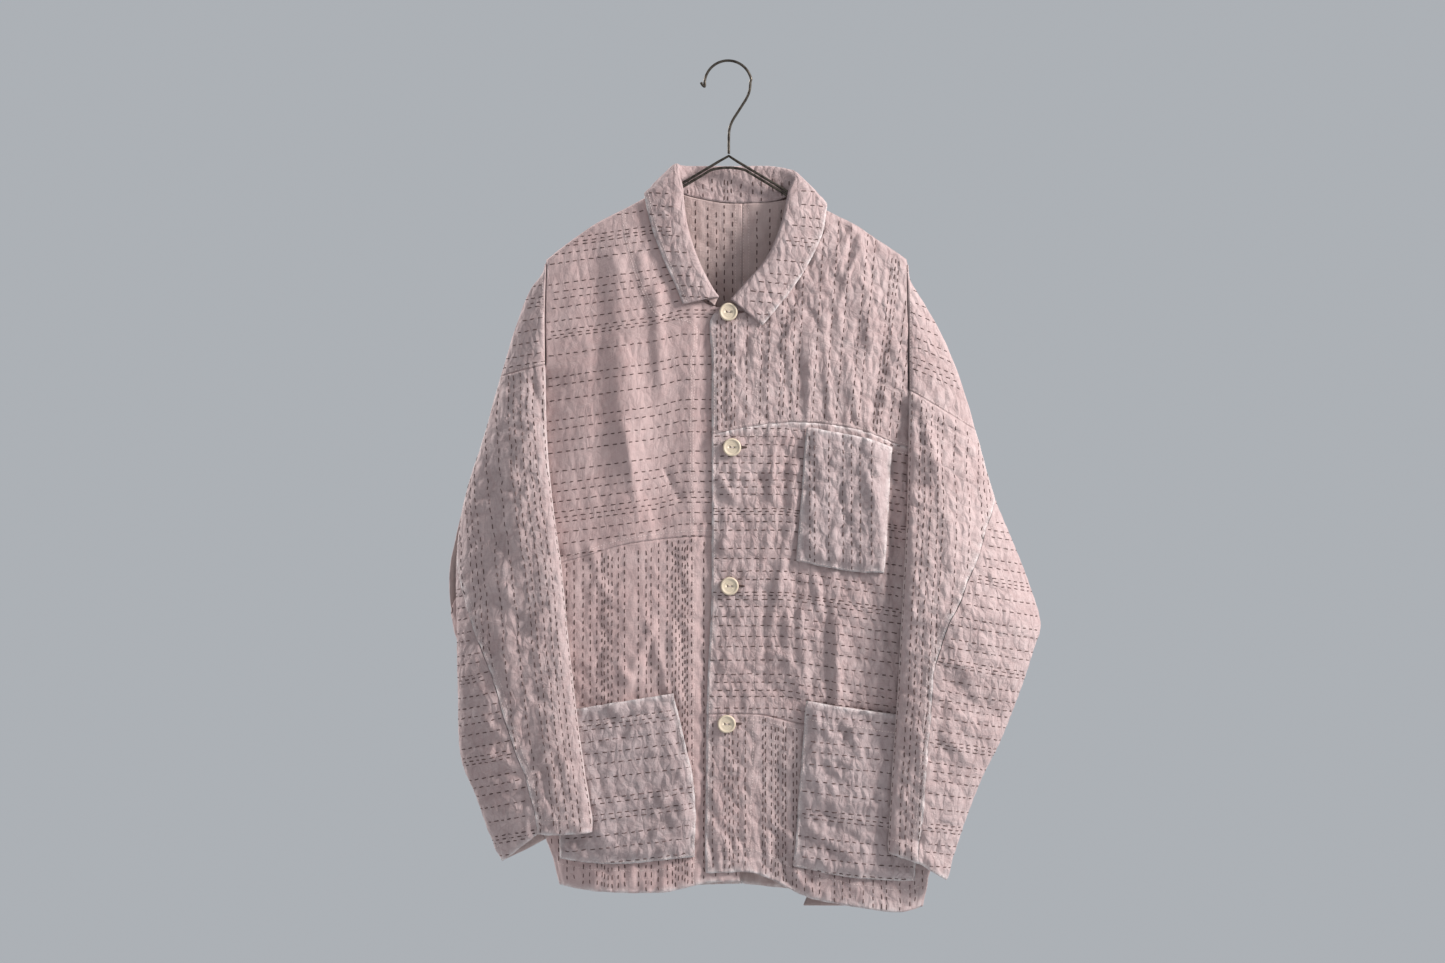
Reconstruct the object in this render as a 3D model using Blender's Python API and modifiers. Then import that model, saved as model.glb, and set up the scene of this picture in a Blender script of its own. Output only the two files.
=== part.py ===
"""A pieced and stitched cotton work jacket, hung on a wire hanger.

The origin is inside the top of the hook. +Z is up, +X is the wearer's left and -Y is the front.
Outlines are (x, z) in millimetres on the hung jacket. Right and left are the wearer's.
"""
import math

import bmesh
import bpy
import numpy as np

MM = 0.001

# Cloth and wire
WALL = 1.6
SEAM_GAP = 0.4
PANEL_GAP = 0.7
SHOULDER_SETBACK = 0.65
LAYER_STEP = 2.9
WIRE_RADIUS = 1.4
NECK_GAP = 1.5

# Hanger: a hook, and a cyclic wire with a straight roof and a bowed lower bar
HOOK_ARC_RADIUS = 24.7
HOOK_TOP_Z = WIRE_RADIUS
HOOK_SHANK = [(23.5, -21), (22.6, -30), (20, -37), (12, -50), (4, -63), (1.4, -71), (0.8, -80), (0.8, -96.5)]
APEX = (0.8, -98.7)
ROOF_SLOPE = 0.60
HANGER_TIP_X = 181.0
BAR_TOP_Z = -111.0
BAR_DROP = 3.2

# Shoulder line of each side, from the neck to the hanger's tip
RIGHT_SHOULDER = [(-62, -132.4), (-89, -145), (-108, -155), (-140, -171.5), (-180, -200.5), (-190, -208.5)]
LEFT_SHOULDER = [(76, -140.6), (104, -157.6), (130, -170), (159, -189), (181, -203.6), (187, -208.5)]
FOLD_OVER_WIRE = 3.7

# Side outline of the body, from the hanger's tip to the hem
RIGHT_SIDE = [(-190, -208.5), (-193, -220), (-206, -238), (-217, -264), (-227, -294), (-238, -331),
              (-256.5, -398), (-270, -439), (-279, -477), (-289, -510), (-292, -535), (-290, -576),
              (-281, -604), (-262, -660), (-226, -740), (-194, -800), (-178.5, -837), (-172, -862)]
LEFT_SIDE = [(187, -208.5), (191, -232), (207, -257), (225, -289.5), (233, -307), (248, -349),
             (259, -387), (279, -458), (295, -497), (315, -548), (322, -590), (314, -612),
             (290, -656), (266, -711), (248, -747), (228, -794), (211, -837), (200, -885)]
RIGHT_SEAM_TOP_Z = -319.0
LEFT_SEAM_TOP_Z = -346.0
RIGHT_SLEEVE_HEAD = (-238, -331)
LEFT_SLEEVE_HEAD = (259, -387)
RIGHT_UNDERARM = (-290, -576)
LEFT_UNDERARM = (322, -590)
RIGHT_FOLD_START = (-281, -604)
LEFT_FOLD_START = (314, -612)

# Ridge seam beyond the shoulder, and the front armhole behind the sleeve
RIGHT_RIDGE = [(-190, -208.5), (-191, -260), (-190.5, -319)]
LEFT_RIDGE = [(187, -208.5), (188, -270), (188.6, -346)]
RIGHT_ARMHOLE = [(-190.5, -319), (-199, -345), (-214, -390), (-243, -470), (-272, -540), (-290, -576)]
LEFT_ARMHOLE = [(188.6, -346), (197, -375), (212, -420), (245, -490), (284, -550), (322, -590)]

# Depth of the hung body in front of and behind the hanger's plane
FRONT_SHOULDER_FULLNESS = 11.0
FRONT_LOWER_FULLNESS = 14.0
BACK_SHOULDER_FULLNESS = 6.0
BACK_LOWER_FULLNESS = 11.0
SIDE_ROUNDING = 110.0
SIDE_FOLD_RADIUS = 2.7
SIDE_EDGE_DEPTH = 6.9
OVERLAP_EDGE = [(-17, -252), (-17, -400), (-17, -563), (-22, -659), (-24, -832), (-23, -857.5)]
UNDERLAP_X = 12.0
CENTRE_BACK_X = 15.0

# Panel seams and hems, from the centre outwards
RIGHT_FRONT_SEAM = [(UNDERLAP_X, -496), (-20, -497), (-65, -500), (-108, -506), (-173, -525), (-275, -546)]
LEFT_YOKE_SEAM = [(-17, -392), (33, -382), (80, -379), (138, -387.5), (172, -400), (208, -411)]
LEFT_LOWER_SEAM = [(-22.3, -682), (36, -683), (79, -693), (180, -702), (262, -718)]
RIGHT_HEM = [(UNDERLAP_X, -856), (-23, -857.5), (-68, -867), (-152, -865), (-172, -862)]
LEFT_HEM = [(-23, -847), (36, -848), (50, -857), (84, -872), (110, -878), (139, -883), (180, -889),
            (200, -885)]
BACK_HEM_Z = -866.0
RIGHT_BACK_HEM = [(CENTRE_BACK_X, BACK_HEM_Z), (-100, -868), (-172, -862)]
LEFT_BACK_HEM = [(CENTRE_BACK_X, BACK_HEM_Z), (110, -876), (200, -885)]

# Neck edges from the centre back, and of the two fronts from the shoulder
RIGHT_BACK_NECK = [(CENTRE_BACK_X, -147.9), (0, -147.9), (-47, -138.9), (-62, -132.4)]
LEFT_BACK_NECK = [(CENTRE_BACK_X, -147.9), (50, -145.9), (76, -140.6)]
RIGHT_NECK = [(-62, -132.4), (-62, -139), (-57, -171), (-44, -213), (-28, -248), (-8, -263),
              (UNDERLAP_X, -266)]
LEFT_NECK = [(76, -140.6), (77, -150), (68, -178), (51, -215), (32, -243), (9, -264), (-17, -269)]

# Where the panel seams meet the armholes and the left side
RIGHT_SEAM_END = (-275, -546)
LEFT_YOKE_END = (208, -411)
LEFT_LOWER_END = (262, -718)

# Shares of the way across the fronts at which the points lie
RIGHT_COLUMNS = [0, 0.13, 0.18, 0.29, 0.41, 0.53, 0.65, 0.76, 0.85, 0.92, 0.965, 1]
LEFT_COLUMNS = [0, 0.09, 0.2, 0.31, 0.42, 0.53, 0.64, 0.74, 0.83, 0.91, 0.965, 1]
BACK_NECK_COLUMNS = [0, 0.25, 0.5, 0.72, 0.87, 0.95, 1]
RIGHT_ARMHOLE_ROWS = [0, 0.05, 0.14, 0.3, 0.5, 0.75, 1]
LEFT_ARMHOLE_ROWS = [0, 0.2, 0.5, 1]

# Collar sections from the right front end round the back: seam, fold and leaf edge as (x, z)
COLLAR_RIGHT = [((-14, -257), (-10, -248), (-47, -256)), ((-26, -246), (-16, -240), (-53, -240)),
                ((-44, -213), (-32, -208), (-66, -212)), ((-57, -171), (-44, -168), (-80, -174)),
                ((-62.5, -138), (-49, -126), (-86, -148))]
COLLAR_BACK = [((-61.5, -130.5), (-51.5, -110), (-87, -135.5)), ((-47, -138), (-46, -108.5), (-70, -160)),
               ((0, -147), (1, -108.5), (0, -170)), ((50, -145), (50, -109.5), (66, -168)),
               ((74.3, -137.4), (68, -119), (101, -144))]
COLLAR_LEFT = [((75.3, -149), (65, -131), (102, -162)), ((66, -177), (56, -171), (97, -186)),
               ((49, -213.5), (40, -208), (80, -220)), ((28, -238.5), (20, -232), (62, -246)),
               ((8.5, -257), (3, -251), (36, -278))]
COLLAR_FOLD_RADIUS = 2.8
LEAF_LIFT = 3.2
LEAF_CROWN = 1.6

# Depth of the collar's fold behind the hanger, its leaf's stand-off and the way it faces, round the back neck
COLLAR_FOLD_DEPTH = [0.0, 7.5, 10.0, 7.5, 0.0]
COLLAR_LEAF_DEPTH = [0.0, 9.5, 5.0, 9.5, 0.0]
COLLAR_FACING = [(-0.9, 0.15, 0.4), (-0.3, 0.95, 0), (0, 1, 0), (0.3, 0.95, 0), (0.9, 0.15, 0.4)]

# Patch pockets as corner-to-corner edges: top, bottom, inner, outer
RIGHT_POCKET = ([(-57, -660), (-120, -670), (-180, -680)],
                [(-35, -829.5), (-121, -837), (-174.5, -833)],
                [(-57, -660), (-45, -710), (-35, -761), (-35, -829.5)],
                [(-180, -680), (-178, -760), (-174.5, -833)])
LEFT_POCKET = ([(81.5, -667.5), (106, -672), (175, -682), (205, -686)],
               [(68, -839), (120, -849.5), (183, -855.5), (193, -856)],
               [(81.5, -667.5), (78, -706), (74, -764), (68, -839)], [(205, -686), (201, -780), (193, -856)])
CHEST_POCKET = ([(82, -384), (144, -396), (170, -405)], [(71, -522.5), (123, -533), (161.5, -535)],
                [(82, -384), (79, -411), (77, -443), (71, -522.5)], [(170, -405), (166, -470), (161.5, -535)])

# Buttons
BUTTON_PLACES = [(0.4, -264), (4, -405), (1.5, -549), (-1.5, -692)]
BUTTON_RADIUS = 9.5
BUTTON_THICKNESS = 3.2
BUTTON_RIM = 2.0
BUTTON_DISH = 0.8
BUTTON_HOLE_RADIUS = 0.95
BUTTON_HOLE_SPACING = 3.6
BUTTON_TURN = 7.0

# Sleeves: inner and outer outline, panel seam on the seen side and its twin on the hidden side as (t, s)
RIGHT_SLEEVE = dict(
    inner=[(-191.5, -319), (-189, -400), (-183, -460), (-173, -531.5), (-166, -603), (-156, -689),
           (-149, -740), (-142, -784), (-142, -803)],
    outer=[(-238, -331), (-256.5, -398), (-270, -439), (-279, -477), (-284, -525), (-282, -603),
           (-280.5, -654.5), (-277, -729.5), (-262, -767), (-246, -811.5), (-234, -835)],
    seam=[(0.38, 1.0), (0.45, 0.93), (0.53, 0.83), (0.62, 0.69), (0.76, 0.555), (0.84, 0.51), (0.94, 0.54),
          (1, 0.6)],
    hidden=[(0.05, 0.18), (0.13, 0.39), (0.29, 0.64), (0.42, 0.87), (0.48, 0.96), (0.6, 0.85), (0.75, 0.68),
            (0.9, 0.58), (1, 0.52)],
    underarm=0.48, seen_hem=[(0, 0), (0.26, 7), (0.6, 17), (1, 0)],
    hidden_hem=[(0, 0), (0.43, 9), (0.74, 3), (1, 0)])
LEFT_SLEEVE = dict(
    inner=[(189.6, -346), (187, -458), (181, -566), (176, -656.5), (170, -747), (167, -819), (168, -825)],
    outer=[(259, -387), (279, -458), (295, -497), (315, -548), (326, -591), (319, -613), (304, -656.5),
           (282.5, -711), (264.5, -747), (246, -794), (232, -837), (226.5, -855)],
    seam=[(0.15, 1.0), (0.24, 0.74), (0.38, 0.46), (0.47, 0.34), (0.585, 0.27), (0.74, 0.33), (0.89, 0.435),
          (1, 0.47)],
    hidden=[(0.05, 0.1), (0.13, 0.27), (0.25, 0.52), (0.355, 0.75), (0.43, 0.95), (0.55, 0.85), (0.7, 0.68),
            (0.85, 0.58), (1, 0.52)],
    underarm=0.43, seen_hem=[(0, 0), (0.5, 5), (1, 0)], hidden_hem=[(0, 0), (0.5, 8), (1, 0)])
SLEEVE_FRONT_BULGE = [(0, 8), (0.15, 14), (0.4, 20), (0.7, 18), (1, 14)]
SLEEVE_BACK_BULGE = 6.0
SLEEVE_OUTER_DEPTH = -20.0
CUFF_ZONE = 0.16

# Largest soft folds as (x, z) to (x, z), half width and height towards the viewer
FRONT_FOLDS = [((-120, -300), (-104, -500), 20, 3.5), ((-62, -330), (-70, -520), 24, -3.0),
               ((-98, -560), (-118, -680), 26, 3.5), ((-140, -770), (-120, -866), 24, 3.0),
               ((60, -290), (140, -350), 26, 3.0), ((110, -190), (165, -300), 24, 3.0),
               ((125, -560), (100, -690), 28, 3.5), ((125, -720), (140, -885), 28, 3.5),
               ((50, -740), (40, -850), 24, -3.0), ((150, -410), (160, -540), 24, 3.0)]
BACK_FOLDS = [((-120, -330), (-60, -560), 24, 5.0), ((130, -320), (70, -600), 26, 5.0),
              ((-60, -600), (-90, -866), 22, 5.0), ((60, -640), (100, -868), 24, 5.0)]
SLEEVE_FOLDS = [((-208, -390), (-228, -560), 14, 4.0), ((-250, -440), (-205, -600), 12, -3.0),
                ((-180, -640), (-190, -780), 12, 3.0), ((215, -400), (235, -520), 14, 4.0),
                ((225, -590), (300, -570), 14, 4.0), ((230, -650), (285, -690), 12, -3.5),
                ((200, -680), (205, -800), 12, 3.0)]


def smooth_step(value):
    """0 below 0, 1 above 1 and a soft ramp between."""
    ramp = np.clip(value, 0.0, 1.0)
    return ramp * ramp * (3.0 - 2.0 * ramp)


def smooth_line(points, steps=8):
    """A dense centripetal curve through the points."""
    knots = np.array(points, float)
    if len(knots) < 3:
        return knots
    knots = np.vstack([2 * knots[0] - knots[1], knots, 2 * knots[-1] - knots[-2]])
    dense = []
    for a, b, c, d in zip(knots, knots[1:], knots[2:], knots[3:]):
        t1 = np.linalg.norm(b - a) ** 0.5
        t2 = t1 + np.linalg.norm(c - b) ** 0.5
        t3 = t2 + np.linalg.norm(d - c) ** 0.5
        for t in np.linspace(t1, t2, steps, endpoint=False):
            ab = a + (b - a) * t / t1
            bc = b + (c - b) * (t - t1) / (t2 - t1)
            cd = c + (d - c) * (t - t2) / (t3 - t2)
            abc = ab + (bc - ab) * t / t2
            bcd = bc + (cd - bc) * (t - t1) / (t3 - t1)
            dense.append(abc + (bcd - abc) * (t - t1) / (t2 - t1))
    dense.append(knots[-2])
    return np.array(dense)


def lengths(line):
    """Running length of a line, from 0 to 1."""
    steps = np.linalg.norm(np.diff(line, axis=0), axis=1)
    running = np.concatenate([[0.0], np.cumsum(steps)])
    return running / running[-1]


def at(line, fractions):
    """Points at the given fractions of a line's length."""
    running = lengths(line)
    return np.stack([np.interp(fractions, running, line[:, k]) for k in range(line.shape[1])], axis=-1)


def stretch(points, start, end, cells):
    """A line from one of its points to another, cut into equal cells."""
    line = smooth_line(points)
    first = int(np.argmin(np.linalg.norm(line - np.array(start), axis=1)))
    last = int(np.argmin(np.linalg.norm(line - np.array(end), axis=1)))
    part = np.vstack([[start], line[first + 1:last], [end]])
    fractions = np.linspace(0, 1, cells + 1) if np.isscalar(cells) else np.array(cells)
    return at(part, fractions)


def chain(*runs):
    """Runs of points joined end to end."""
    return np.vstack([runs[0]] + [run[1:] for run in runs[1:]])


def shoulder_steps(cells):
    """Fractions that lie close together at the start, where cloth folds over the wire."""
    return np.concatenate([[0, 0.012, 0.035, 0.1], np.linspace(0.1, 1, cells - 2)[1:]])


def coons(top, bottom, inner, outer):
    """A grid of (x, z) between four edges; rows run from top to bottom, columns from inner to outer."""
    inner = np.vstack([top[:1], inner[1:-1], bottom[:1]])
    outer = np.vstack([top[-1:], outer[1:-1], bottom[-1:]])
    u = ((lengths(top) + lengths(bottom)) / 2)[None, :, None]
    v = ((lengths(inner) + lengths(outer)) / 2)[:, None, None]
    corners = (1 - u) * ((1 - v) * top[0] + v * bottom[0]) + u * ((1 - v) * top[-1] + v * bottom[-1])
    return (1 - u) * inner[:, None] + u * outer[:, None] + (1 - v) * top[None] + v * bottom[None] - corners


def side_width(x, z):
    """Half width of the body's outline at a height, on the side of x."""
    right = np.array(RIGHT_SIDE, float)
    left = np.array(LEFT_SIDE, float)
    wide_right = np.interp(-z, -right[:, 1], -right[:, 0])
    wide_left = np.interp(-z, -left[:, 1], left[:, 0])
    return np.where(x < 0, wide_right, wide_left)


def shoulder_height(x):
    """Height of the shoulder line above x."""
    line = np.array(RIGHT_SHOULDER[::-1] + LEFT_SHOULDER, float)
    neck = np.array([(0, APEX[1] + 5.0)])
    line = np.vstack([line[:len(RIGHT_SHOULDER)], neck, line[len(RIGHT_SHOULDER):]])
    return np.interp(x, line[:, 0], line[:, 1])


def fold_height(x, z, folds):
    """Height of the soft folds at a point."""
    total = np.zeros_like(x)
    for start, end, width, height in folds:
        along = np.array(end, float) - np.array(start, float)
        share = ((x - start[0]) * along[0] + (z - start[1]) * along[1]) / (along @ along)
        across = ((x - start[0]) * along[1] - (z - start[1]) * along[0]) / np.sqrt(along @ along)
        ends = smooth_step(share * 4 + 0.6) * smooth_step((1 - share) * 4 + 0.6)
        total += height * ends * np.exp(-(across / width) ** 2)
    return total


def body_depth(x, z, shoulder_fullness, lower_fullness, folds):
    """Distance of the body cloth's middle from the hanger's plane."""
    below = np.maximum(shoulder_height(x) - z, 0.0)
    over_wire = FOLD_OVER_WIRE * np.sqrt(1 - (1 - np.minimum(below / FOLD_OVER_WIRE, 1)) ** 2)
    inside = np.clip((side_width(x, z) - np.abs(x)) / SIDE_ROUNDING, 0, 1)
    underarm_z = np.where(x < 0, RIGHT_FOLD_START[1], LEFT_FOLD_START[1])
    closing = smooth_step((z - underarm_z) / 24)
    near_underarm = closing * smooth_step((-z - 400) / 90)
    rounding = np.sqrt(1 - (1 - inside) ** 2) * (1 - near_underarm) + smooth_step(inside) * near_underarm
    closed = np.sqrt(1 - (1 - np.minimum(inside / 0.04, 1)) ** 2)
    over_wire = over_wire * (1 - closing + closing * closed)
    fullness = shoulder_fullness * (1 - np.exp(-below / 40)) + lower_fullness * smooth_step(below / 380)
    edge_share = (SIDE_EDGE_DEPTH - FOLD_OVER_WIRE) / np.maximum(fullness, 10) * (1 - closing)
    rounding = edge_share + (1 - edge_share) * rounding
    soft = fold_height(x, z, folds) * smooth_step(inside * 4)
    least = SHOULDER_SETBACK + (SEAM_GAP / 2 + WALL / 2 - SHOULDER_SETBACK) * closing * smooth_step(below / 6)
    return np.maximum(least, over_wire + fullness * rounding + soft)


def front_y(x, z):
    """Depth of the front panels' middle surface."""
    seam_z = np.where(x < 0, RIGHT_SEAM_TOP_Z, LEFT_SEAM_TOP_Z)
    tuck = 6.0 * smooth_step((seam_z - z) / 18) * smooth_step((z - seam_z + 170) / 90)
    tuck = tuck * np.exp(-((np.abs(x) - 196) / 30) ** 2)
    return tuck - body_depth(x, z, FRONT_SHOULDER_FULLNESS, FRONT_LOWER_FULLNESS, FRONT_FOLDS)


def back_y(x, z):
    """Depth of the back panels' middle surface."""
    return body_depth(x, z, BACK_SHOULDER_FULLNESS, BACK_LOWER_FULLNESS, BACK_FOLDS)


def lift(grid, depth):
    """A grid of (x, z) with its depth, as (x, y, z)."""
    return np.stack([grid[..., 0], depth, grid[..., 1]], axis=-1)


def side_fold(edge, underarm_x, face):
    """The cloth that folds inwards at the side, from the edge column of a grid."""
    side = math.copysign(1.0, underarm_x)
    deep = np.abs(underarm_x) - np.abs(edge[:, 0])
    columns = [edge]
    turn = SIDE_FOLD_RADIUS
    for angle in (45, 90, 135, 180):
        swing = math.radians(angle)
        out = side * turn * math.sin(swing)
        columns.append(edge + np.array([out, -face * turn * (1 - math.cos(swing)), 0]))
    flap = columns[-1]
    for share in (0.5, 1.0):
        column = flap.copy()
        column[:, 0] -= side * deep * share
        closed = face * (WALL + SEAM_GAP) / 2
        column[:, 1] = flap[:, 1] + (closed - flap[:, 1]) * share
        columns.append(column)
    return np.stack(columns, axis=1)


def material(name, colour, roughness, metallic=0.0):
    """A plain surface in linear colour."""
    finish = bpy.data.materials.new(name)
    finish.use_nodes = True
    shader = finish.node_tree.nodes["Principled BSDF"]
    shader.inputs["Base Color"].default_value = (*colour, 1.0)
    shader.inputs["Roughness"].default_value = roughness
    shader.inputs["Metallic"].default_value = metallic
    return finish


def add_object(name, data, finish):
    """A named object in the jacket's collection."""
    piece = bpy.data.objects.new(name, data)
    data.materials.append(finish)
    bpy.data.collections["jacket"].objects.link(piece)
    return piece


def cloth(name, grids, flip=False, colour=(0.69, 0.53, 0.50)):
    """One cloth panel: grids joined at their shared points, with a wall on both sides of them."""
    mesh = bpy.data.meshes.new(name)
    shape = bmesh.new()
    for grid in grids:
        corner = [[shape.verts.new(point * MM) for point in row] for row in grid]
        for upper, lower in zip(corner, corner[1:]):
            for a, b, c, d in zip(upper, upper[1:], lower[1:], lower):
                shape.faces.new((d, c, b, a) if flip else (a, b, c, d))
    bmesh.ops.remove_doubles(shape, verts=shape.verts, dist=0.00005)
    bmesh.ops.recalc_face_normals(shape, faces=shape.faces)
    bmesh.ops.triangulate(shape, faces=shape.faces)
    shape.to_mesh(mesh)
    shape.free()
    mesh.shade_smooth()
    piece = add_object(name, mesh, material(name + "_cotton", colour, 0.9))
    wall = piece.modifiers.new("wall", "SOLIDIFY")
    wall.thickness = WALL * MM
    wall.offset = 0.0
    wall.use_quality_normals = True
    return piece


def wire(name, points, closed):
    """A steel wire along points in the hanger's plane."""
    data = bpy.data.curves.new(name, "CURVE")
    data.dimensions = "3D"
    data.bevel_depth = WIRE_RADIUS * MM
    data.bevel_resolution = 2
    data.use_fill_caps = not closed
    spline = data.splines.new("POLY")
    spline.points.add(len(points) - 1)
    for place, (x, z) in zip(spline.points, points):
        place.co = (x * MM, 0.0, z * MM, 1.0)
    spline.use_cyclic_u = closed
    return add_object(name, data, material(name + "_steel", (0.07, 0.06, 0.05), 0.45, 1.0))


def hanger():
    """The hook and the cyclic wire under it."""
    centre_z = HOOK_TOP_Z - HOOK_ARC_RADIUS
    arc = []
    for angle in np.linspace(186, 12, 15):
        swing = math.radians(angle)
        arc.append((HOOK_ARC_RADIUS * math.cos(swing), centre_z + HOOK_ARC_RADIUS * math.sin(swing)))
    tip = [(-28.4, -21.5), (-26.6, -24.5)]
    shank = at(smooth_line(HOOK_SHANK), np.linspace(0, 1, 14))
    wire("hanger_hook", tip + arc + [tuple(point) for point in shank], closed=False)
    tip_z = APEX[1] - ROOF_SLOPE * HANGER_TIP_X
    roof = [(x, APEX[1] - ROOF_SLOPE * abs(x)) for x in np.linspace(0, HANGER_TIP_X, 8)[1:]]
    turn = [(HANGER_TIP_X + BAR_DROP * 0.5, tip_z - BAR_DROP * 0.7), (HANGER_TIP_X, tip_z - BAR_DROP * 1.25)]
    bar = []
    for x in np.linspace(HANGER_TIP_X, 0, 13)[1:]:
        roof_z = APEX[1] - ROOF_SLOPE * abs(x) - BAR_DROP * 1.25
        bow_z = BAR_TOP_Z - 0.0075 * x * x
        bar.append((x, min(roof_z, bow_z)))
    half = [(APEX[0], APEX[1])] + roof + turn + bar
    mirrored = [(-x, z) for x, z in half[:0:-1]]
    wire("hanger_loop", half + mirrored[1:], closed=True)


def back(name, side, shoulder, head, underarm, fold_start, ridge, hem, neck):
    """One back panel with the stretch that wraps over the shoulder's end to the ridge seam."""
    centre_x = CENTRE_BACK_X + math.copysign(SEAM_GAP / 2, underarm[0])
    neck_edge = smooth_line(neck)
    shoulder_edge = smooth_line(shoulder)
    closer_outwards = 1 - (1 - np.linspace(0, 1, 8)) ** 1.4
    top = chain(at(neck_edge, BACK_NECK_COLUMNS), at(shoulder_edge, closer_outwards))
    top[0, 0] = centre_x
    wrap_rows = 8
    line = smooth_line(side)
    head_row = int(np.argmin(np.linalg.norm(line - np.array(head), axis=1)))
    outline = chain(at(line[:head_row + 1], shoulder_steps(wrap_rows)),
                    stretch(side, head, underarm, 6), stretch(side, underarm, fold_start, 1),
                    stretch(side, fold_start, side[-1], 7))
    centre_z = np.interp(lengths(outline), [0, 1], [neck[0][1], BACK_HEM_Z])
    inner = np.stack([np.full_like(centre_z, centre_x), centre_z], axis=1)
    bottom = at(smooth_line(hem), lengths(top))
    bottom[0] = inner[-1]
    flat = coons(top, bottom, inner, outline)
    panel = lift(flat, back_y(flat[..., 0], flat[..., 1]))
    ridge_line = at(smooth_line(ridge), shoulder_steps(wrap_rows))
    first_wrap = 2
    seen = outer_stretch(ridge_line[first_wrap:], panel[first_wrap:wrap_rows + 1, -1])
    first_fold = wrap_rows + 7
    tucked = side_fold(panel[first_fold:, -1], underarm[0], 1)
    cloth(name, [panel, seen, tucked], colour=(0.66, 0.50, 0.48))


def outer_stretch(ridge_line, edge):
    """The back cloth between the side outline and the ridge, bulging forwards."""
    side = math.copysign(1.0, edge[0, 0])
    start = lift(ridge_line, front_y(ridge_line[:, 0], ridge_line[:, 1]))
    start[:, 0] += side * (WALL * 0.8)
    rows = np.linspace(0.1, 1, len(edge))[:, None]
    share = (0.5 - 0.5 * np.cos(np.pi * np.linspace(1, 0, 7)))[None, :]
    grid = edge[:, None] * share[..., None] + start[:, None] * (1 - share[..., None])
    grid[..., 1] -= SLEEVE_FRONT_BULGE[0][1] * rows * bulge(share)
    grid[:, 1:, 2] += PANEL_GAP * (rows == 1)
    return grid


def bulge(share):
    """Rounded profile between two folded edges."""
    return np.power(2 * np.sqrt(np.clip(share * (1 - share), 0, 0.25)), 0.8)


def under_overlap(x):
    """How far the right front passes behind the left front."""
    return LAYER_STEP * smooth_step((x + 40) / 14)


def placket_edge(top_z, bottom_z, cells):
    """Points down the left front's overlapping edge."""
    edge = np.array(OVERLAP_EDGE, float)
    heights = np.linspace(top_z, bottom_z, cells + 1)
    return np.stack([np.interp(-heights, -edge[:, 1], edge[:, 0]), heights], axis=1)


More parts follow.
